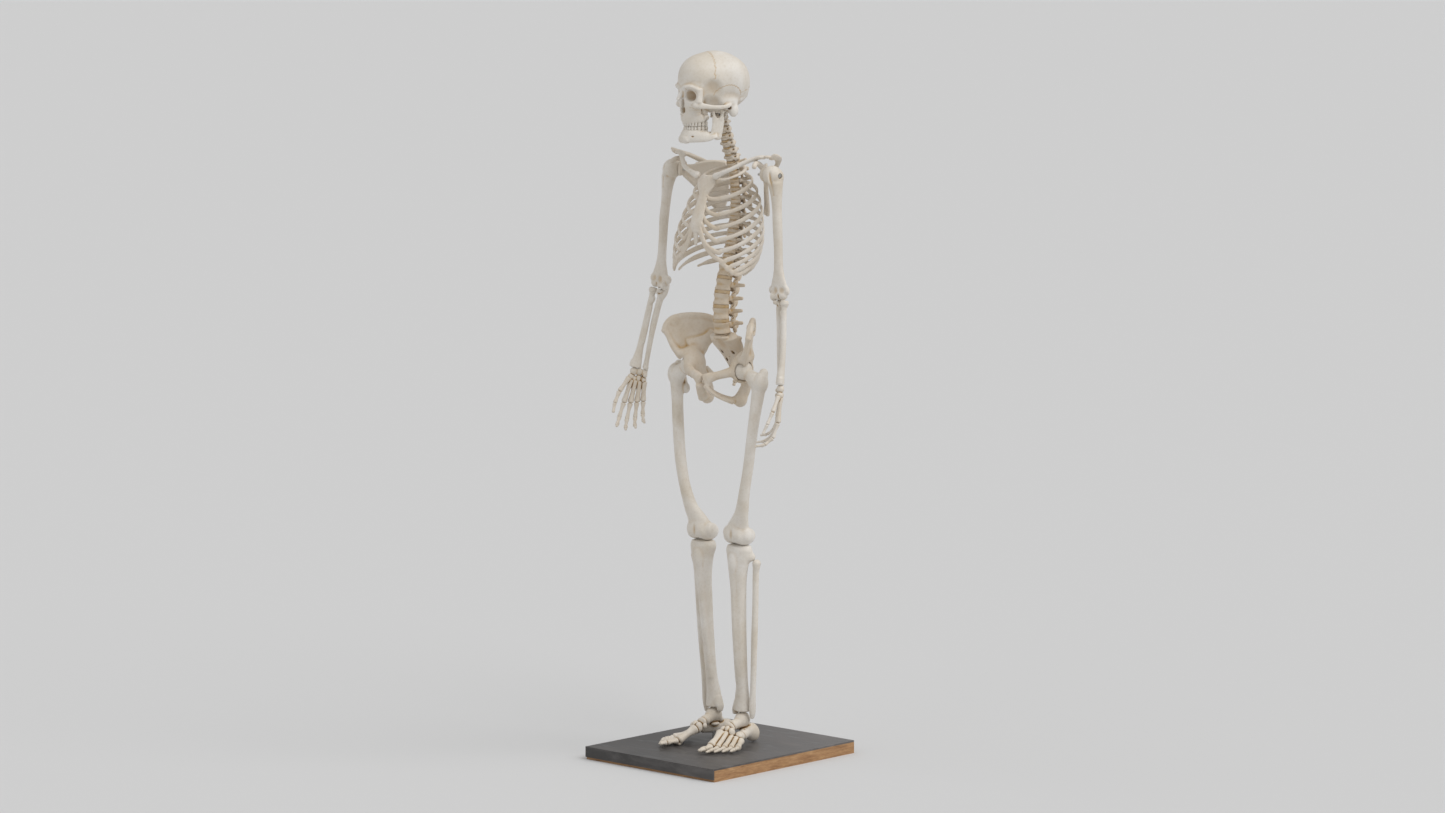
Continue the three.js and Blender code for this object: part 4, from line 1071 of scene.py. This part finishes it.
# ---------------------------------------------------------------------------
# Skull
# ---------------------------------------------------------------------------
def cranium():
    """The skull without its lower jaw and teeth."""
    clay = Clay(1.0)
    clay.add(Ball((0, -10, 79), (68, 85, 70)), Ball((0, -54, 84), (55, 44, 52)),
             Ball((0, 36, 66), (56, 39, 52)), *both(Ball((34, 18, 86), (36, 42, 46))), blend=14)
    clay.add(Ball((0, -4, 22), (44, 50, 24)), *both(Ball((42, 0, 28), (20, 30, 20))), blend=12)
    clay.add(Loft([(0, -70, 66, 50, 26), (0, -72, 46, 50, 24), (0, -74, 26, 46, 22),
                   (0, -74, 8, 34, 22), (0, -71, -12, 28, 23)], smooth=3), blend=10)
    clay.carve(*both(Ball((77, -49, 52), (28, 30, 34)), Ball((57, -47, 14), (17, 26, 28))), blend=9)
    clay.add(*both(
        Loft([(5, -94, 59, 5, 5), (20, -97, 63, 5, 5), (36, -91, 65, 5, 6), (47, -80, 60, 5, 6)],
             (0, 0, 1)),
        Loft([(51, -75, 58, 4, 6), (51, -74, 44, 4, 7), (50, -76, 30, 7, 8)]),
        Ball((44, -79, 21), (10, 11, 9), (0, 25, 0)),
        Loft([(52, -73, 20, 4.4, 8), (61, -56, 18, 3, 5.6), (66, -36, 16.5, 2.6, 4.8),
              (66, -16, 17, 3, 4.8), (60, 2, 19, 4.4, 5)], (1, 0.4, 0))), blend=6)
    clay.add(*both(Ball((50, 16, 10), (10.5, 13, 19), (0, -8, 0)), Ball((16, 1, 5.2), (7, 11, 5)),
                   Loft([(42, 6, 6, 3.4), (39, 2, -6, 2.2), (37, 0, -15, 1.4)]),
                   Loft([(15, -44, 16, 2.6, 8), (16, -42, -6, 2.4, 7)])), blend=4)
    clay.add(Ball((0, 70, 44), (10, 7, 6)),
             *both(Loft([(4, 70, 44, 3), (26, 60, 41, 3), (44, 38, 33, 3)])), blend=8)
    arch = [(27.5, -42, -11, 5, 10), (27.5, -58, -11.5, 5, 10), (24.5, -74, -12, 4.6, 10.5),
            (14.5, -86, -12, 4.4, 11), (0, -90.5, -12, 4.4, 11)]
    clay.add(horseshoe(arch, 0.4), blend=7)
    clay.carve(Ball((0, -56, -27), (19, 30, 17)), blend=4)
    clay.carve(*both(Ball((33, -103, 42.5), (18.5, 25, 16.5), (0, 8, -10))), blend=4)
    clay.carve(*both(Ball((26, -80, 44), (12.5, 26, 11.5), (0, 0, -20))), blend=7)
    clay.carve(*both(Ball((30, -101, 2), (10, 10, 10)), Ball((29, -97, 15), (2.3, 7, 1.8)),
                     Ball((22, -101, 60), (1.6, 5, 1.4))), blend=4)
    clay.carve(Ball((0, -100, 9), (11.5, 28, 9.5)), Ball((0, -100, 22), (8, 26, 15)), blend=3)
    clay.add(Loft([(0, -92, 60, 8, 6), (0, -97, 50, 6, 6), (0, -103, 41, 5.6, 5),
                   (0, -108, 34, 6, 3.4)], smooth=3), blend=4)
    clay.add(Ball((0, -97, -1.5), (2.6, 5.5, 2.6)),
             Loft([(0, -82, 26, 1, 8), (0, -81, 4, 1, 8)], smooth=1), blend=2)
    clay.carve(*both(Ball((62, 4, 13), (18, 4.2, 4.6))), Ball((0, 16, 2), (13.5, 16, 16)), blend=2)
    clay.carve(*both(Ball((55, -8, 9), (12, 6, 6)), Ball((47, 28, 4), (3, 14, 10))), blend=3)
    return clay


def tooth_arch(radius, middle, widths):
    """Middles and directions of teeth from the front back along a horseshoe."""
    places, run = [], 0
    quarter = math.pi / 2 * radius
    for wide in widths:
        middle_run = run + wide / 2
        if middle_run < quarter:
            angle = middle_run / radius
            places.append((radius * math.sin(angle), middle - radius * math.cos(angle),
                           math.cos(angle), math.sin(angle), wide))
        else:
            places.append((radius, middle + middle_run - quarter, 0, 1, wide))
        run += wide
    return places


def teeth(radius, middle, gum, bite, widths):
    """A row of teeth on each side from `gum` to `bite`, front teeth first."""
    clay = Clay(0.5)
    down = 1 if bite > gum else -1
    for order, (x, y, tx, ty, wide) in enumerate(tooth_arch(radius, middle, widths)):
        half = wide / 2 - 0.18
        front = order < 3
        deep = (3.4, 3.2, 3.8, 4.2, 4.3, 5.0, 5.0, 4.6)[order]
        crown = bite - down * (0.6 if front else 1.0)
        tooth = Loft([(x, y, gum - down * 2, half * 0.72, deep * 0.9),
                      (x, y, gum + down * 1.5, half * 0.86, deep),
                      (x, y, (gum + crown) / 2, half, deep * (0.85 if front else 1.0)),
                      (x, y, crown, half * (0.94 if order != 2 else 0.6),
                       deep * (0.34 if front else 0.86))], (tx, ty, 0), 3, 0.35)
        clay.add(*both(tooth), blend=0)
        if not front:
            clay.carve(*both(Ball((x, y, bite + down * 1.1), (half * 0.62, half * 0.62, 2.4))),
                       blend=1.2)
    return clay


def mandible():
    """The lower jaw without its teeth."""
    clay = Clay(0.9)
    body = [(45, -30, -50, 5, 14), (42, -46, -54, 5.4, 13), (35, -64, -56, 5.6, 12.5),
            (24, -80, -57, 5.6, 12.5), (12, -89, -57, 5.8, 12.5), (0, -91.5, -57, 6, 12.5)]
    clay.add(horseshoe(body), blend=2)
    arch = [(26, -42, -47, 5.4, 6), (26.5, -56, -46.5, 5.2, 6), (24, -72, -46, 5, 6.4),
            (14, -84, -46, 4.6, 6.6), (0, -88.5, -46, 4.6, 6.6)]
    clay.add(horseshoe(arch, 0.5), blend=5)
    clay.add(Ball((0, -94, -62), (15, 6, 7)), *both(Ball((12, -92, -65), (8, 5, 5))), blend=9)
    clay.add(*both(
        Loft([(45, -28, -52, 4.6, 15), (47, -25, -36, 3.6, 15.5), (48, -23, -18, 3.2, 15.5),
              (48, -22, -8, 3, 15)]),
        Loft([(49, -17, -14, 3.2, 7), (49.5, -14.5, -2, 4, 4.4)]),
        Loft([(47.5, -36, 4, 1.8, 2.6), (47.5, -33, -6, 2.4, 5.5), (47.5, -30, -18, 3, 8)]),
        Ball((50, -14, 3.4), (9, 4.6, 4.2)), Ball((45, -24, -56), (5, 11, 8))), blend=4)
    clay.carve(*both(Ball((48, -24.5, 1), (12, 7, 12)), Ball((40, -26, -26), (5.4, 3.4, 4)),
                     Ball((29, -84, -55), (3.4, 4, 1.9))), blend=3)
    return clay


def add_sutures(surface):
    """Marks the joins of the skull's plates, which meander, in the recess values."""
    points, faces, hollow = surface
    x, y, z = points[:, 0], points[:, 1], points[:, 2]
    wave = 1.6 * np.sin(x * 0.9) + 1.3 * np.sin(x * 2.3 + 1) + 0.8 * np.sin(z * 1.7)
    coronal = np.abs(y + 30 - 0.16 * (z - 148) - wave * 0.7)
    coronal[z < 84] = 9
    weave = 1.5 * np.sin(y * 0.8) + 1.2 * np.sin(y * 2.1 + 2)
    sagittal = np.abs(x - weave * 0.6)
    sagittal[(y < -31) | (z < 106)] = 9
    zigzag = 1.8 * np.sin(x * 0.8) + 1.2 * np.sin(x * 1.9)
    lambdoid = np.abs(z - (106 - 0.92 * np.abs(x)) - zigzag * 0.8)
    lambdoid[y < 28] = 9
    arc = np.hypot(y + 2, (z - 34) * 1.05)
    squamous = np.abs(arc - 37 - 0.8 * np.sin(y * 0.9))
    squamous[(np.abs(x) < 50) | (z < 44)] = 9
    line = np.minimum.reduce([coronal, sagittal, lambdoid, squamous])
    mark = 0.42 * np.clip(1.5 - line, 0, 1)
    return points, faces, np.maximum(hollow, mark)


WRIST_TURN = {"left": (4, SUPINATION), "right": (-2, -SUPINATION)}


def arm_frames(side):
    """Placings of the upper arm, forearm and hand, from the joints."""
    sign = 1 if side == "left" else -1
    shoulder, elbow, wrist = (Vector(JOINTS[name]["pos_m"]) for name in (
        f"shoulder_{side}_swing", f"elbow_{side}_bend", f"wrist_{side}_bend"))
    across = -Vector(JOINTS[f"elbow_{side}_bend"]["axis"]).normalized()
    upper = axes_frame(shoulder, across, shoulder - elbow)
    lower = axes_frame(elbow, across, elbow - wrist - across * 0.003 * sign)
    bend, twist = WRIST_TURN[side]
    turn = Matrix.Rotation(math.radians(bend), 4, "Y") @ Matrix.Rotation(math.radians(twist), 4, "Z")
    palm = Matrix.Translation(wrist) @ (lower.to_3x3().to_4x4() @ turn)
    return upper, lower, palm


def axes_frame(origin, across, up):
    """A frame at a point with its X along `across` and its Z along `up`."""
    x = across.normalized()
    z = (up - x * up.dot(x)).normalized()
    y = z.cross(x)
    turn = Matrix((x, y, z)).transposed().to_4x4()
    return Matrix.Translation(origin) @ turn


ANKLE = (48, 28)
TOES_OUT = 12
UPPER_TEETH = (8.4, 6.6, 7.4, 6.8, 6.8, 9.8, 9.4, 8.0)
LOWER_TEETH = (5.4, 6.0, 6.8, 7.0, 7.2, 10.4, 10.0, 9.0)


def foot_frame(sign):
    """Turns a foot's toes outwards about its ankle; `sign` is 1 on the left side."""
    centre = Vector((ANKLE[0] * sign, ANKLE[1], 0)) * MM
    turn = Matrix.Rotation(math.radians(TOES_OUT * sign), 4, "Z")
    return TRUNK @ Matrix.Translation(centre) @ turn @ Matrix.Translation(-centre)


def build_skeleton():
    foot_turn = {"left": foot_frame(1), "right": foot_frame(-1)}
    pair("femur", femur(), "ivory")
    pair("tibia", tibia(), "ivory")
    pair("fibula", fibula(), "ivory")
    pair("foot", foot(), "small", foot_turn)
    pair("hip_bone", hip_bone(), "pelvis")
    add_bone("sacrum_and_coccyx", sacrum().surface(),
             TRUNK @ Matrix.Translation((0, 0, SACRUM_LIFT * MM)), "pelvis", "stand_and_trunk",
             "sacrum")
    spine()
    for index in range(12):
        pair(f"rib_{index + 1:02d}", rib(index), "rib")
    for name, clay, look in (("breastbone", sternum(), "rib"),
                             ("costal_cartilages", costal_cartilages(), "cartilage")):
        add_bone(name, clay.surface(), TRUNK, look, "stand_and_trunk", "sternum_with_cartilage")
    pair("clavicle", clavicle(), "ivory")
    pair("scapula", scapula(), "rib")
    frames = {side: arm_frames(side) for side in SIDES}
    for part, build, level, look, body in (
            ("humerus", humerus, 0, "ivory", "upper_arm"), ("ulna", ulna, 1, "ivory", "forearm"),
            ("radius", radius_bone, 1, "ivory", "forearm"), ("hand", hand, 2, "small", "hand")):
        pair(part, build(), look, {side: frames[side][level] for side in SIDES}, body)
    head_frame = axes_frame(Vector(JOINTS["head_turn"]["pos_m"]),
                            Vector(JOINTS["jaw_opening"]["axis"]), Vector((0, 0, 1)))
    for name, surface, look, body, node in (
            ("skull", add_sutures(cranium().surface()), "skull", "skull", "cranium"),
            ("upper_teeth", teeth(25.6, -64, -20, -30.6, UPPER_TEETH).surface(), "tooth", "skull",
             "cranium"),
            ("jaw_bone", mandible().surface(), "skull", "jaw", "mandible"),
            ("lower_teeth", teeth(24.2, -63, -40.5, -31.0, LOWER_TEETH).surface(), "tooth", "jaw",
             "mandible")):
        add_bone(name, surface, head_frame, look, body, node)


build_skeleton()


# ---------------------------------------------------------------------------
# Board and hardware: the CAD nodes with rounded edges and their own finishes
# ---------------------------------------------------------------------------
def wood_material():
    """Laid strips of brown hardwood seen at the edge of the board."""
    skin = Finish("board_wood")
    bands = skin.noise(6, 6, 0.6, 0.6, skin.stretched(3, 3, 26))
    fibres = skin.noise(5, 5, 0.6, 0.0, skin.stretched(14, 14, 260))
    tone = skin.ramp(bands, (0.32, (0.29, 0.145, 0.06)), (0.5, (0.43, 0.235, 0.105)),
                     (0.7, (0.55, 0.33, 0.16)))
    streak = skin.ramp(fibres, (0.35, (0.62, 0.58, 0.52)), (0.6, 1.0))
    color = skin.mix(0.75, tone, streak, "MULTIPLY")
    rough = skin.ramp(fibres, (0.3, 0.62), (0.7, 0.42))
    return skin.finished(color, rough, fibres, 0.25, 0.0008)


def laminate_material():
    """Dark sheet, rubbed grey and dusty in streaks, with a painted sheen that makes it paler towards one
    corner.
    """
    skin = Finish("board_laminate")
    clouds = skin.noise(4.5, 5, 0.6, 0.5)
    streaks = skin.noise(9, 6, 0.62, 0.3, skin.stretched(1.2, 4, 4))
    grain = skin.noise(420, 4, 0.7)
    base = skin.ramp(clouds, (0.3, (0.030, 0.028, 0.027)), (0.7, (0.055, 0.051, 0.049)))
    worn = skin.ramp(streaks, (0.44, 0.0), (0.74, 0.5))
    place_on_board = skin.nodes.new("ShaderNodeSeparateXYZ")
    skin.links.new(skin.coords, place_on_board.inputs["Vector"])
    diagonal = skin.math("ADD", place_on_board.outputs["X"], place_on_board.outputs["Y"])
    # Painted sheen: the sheet grows paler towards one corner, on the side the light comes from.
    painted_sheen = skin.span(diagonal, 0.0, 0.55, -0.22, 0.45)
    wear_and_painted_sheen = skin.math("ADD", worn, painted_sheen, clamp=True)
    # The grey of the rubbed and dusty streaks, which is also the colour of the painted sheen.
    color = skin.mix(wear_and_painted_sheen, base, (0.20, 0.185, 0.18))
    specks = skin.ramp(grain, (0.62, 0.0), (0.74, 0.5))
    color = skin.mix(specks, color, (0.16, 0.15, 0.14))
    rough = skin.ramp(streaks, (0.35, 0.34), (0.7, 0.58))
    return skin.finished(color, rough, grain, 0.12, 0.0004)


def steel_material():
    """Plated steel with fine scratches."""
    skin = Finish("zinc_steel")
    skin.shader.inputs["Metallic"].default_value = 1.0
    clouds = skin.noise(60, 5, 0.6)
    scratches = skin.noise(600, 3, 0.7)
    color = skin.ramp(clouds, (0.35, (0.42, 0.42, 0.41)), (0.65, (0.62, 0.62, 0.60)))
    rough = skin.ramp(scratches, (0.3, 0.28), (0.7, 0.48))
    return skin.finished(color, rough, scratches, 0.1, 0.0002)


def finish_node(name, material, edge):
    """Gives a CAD node its finish and rounds its edges."""
    obj = frame["nodes"][name]
    obj.data.materials.clear()
    obj.data.materials.append(material)
    bevel = obj.modifiers.new("rounded_edges", "BEVEL")
    bevel.width = edge
    bevel.segments = 3
    bevel.limit_method = "ANGLE"
    bevel.harden_normals = True


def build_board():
    steel = steel_material()
    finish_node("base_board", wood_material(), 0.0012)
    finish_node("base_cover", laminate_material(), 0.0009)
    for name in ("spine_rod", "leg_rod_left", "leg_rod_right", "shoulder_bolt_left",
                 "shoulder_bolt_right"):
        finish_node(name, steel, 0.0004)


build_board()


# ---------------------------------------------------------------------------
# Stage, light and camera
# ---------------------------------------------------------------------------
FLOOR_RADIUS = 400
FLOOR_GREY = (0.66, 0.66, 0.66)
SKY_STRENGTH = 0.48


def build_stage():
    bpy.ops.mesh.primitive_circle_add(vertices=96, radius=FLOOR_RADIUS, fill_type="NGON")
    floor = bpy.context.object
    floor.name = "floor"
    paint = Finish("pale_floor")
    for name, value in (("Base Color", FLOOR_GREY), ("Roughness", 0.9), ("Specular IOR Level", 0.1)):
        paint.feed(paint.shader.inputs[name], value)
    floor.data.materials.append(paint.material)
    world = bpy.data.worlds.new("studio")
    world.use_nodes = True
    world.node_tree.nodes["Background"].inputs["Color"].default_value = (1, 1, 1, 1)
    world.node_tree.nodes["Background"].inputs["Strength"].default_value = SKY_STRENGTH
    bpy.context.scene.world = world
    bpy.context.scene.view_settings.view_transform = "Standard"


def sun(name, direction, softness, power):
    """A broad soft light; `direction` points from the object to the light."""
    light = bpy.data.lights.new(name, "SUN")
    light.angle = math.radians(softness)
    light.energy = power
    obj = bpy.data.objects.new(name, light)
    obj.rotation_euler = (-Vector(direction)).to_track_quat("-Z", "Y").to_euler()
    bpy.context.scene.collection.objects.link(obj)


def build_lights():
    sun("key", (0.9, 0.1, 1.1), 50, 1.65)
    sun("fill", (-0.6, -1.0, 0.7), 80, 0.35)


# Angles in degrees, distances in metres, focal length in millimetres.
CAMERA = {"azimuth": 43, "elevation": 7, "distance": 12.0, "aim": (0.004, 0.004, 0.865),
          "lens": 122.8}


def build_camera():
    camera = bpy.data.objects.new("camera", bpy.data.cameras.new("camera"))
    camera.data.lens = CAMERA["lens"]
    camera.data.clip_end = 100
    around, above = math.radians(CAMERA["azimuth"]), math.radians(CAMERA["elevation"])
    ray = Vector((math.sin(around) * math.cos(above), -math.cos(around) * math.cos(above),
                  math.sin(above)))
    camera.location = Vector(CAMERA["aim"]) + ray * CAMERA["distance"]
    camera.rotation_euler = (-ray).to_track_quat("-Z", "Y").to_euler()
    bpy.context.scene.collection.objects.link(camera)
    bpy.context.scene.camera = camera


build_stage()
build_lights()
build_camera()
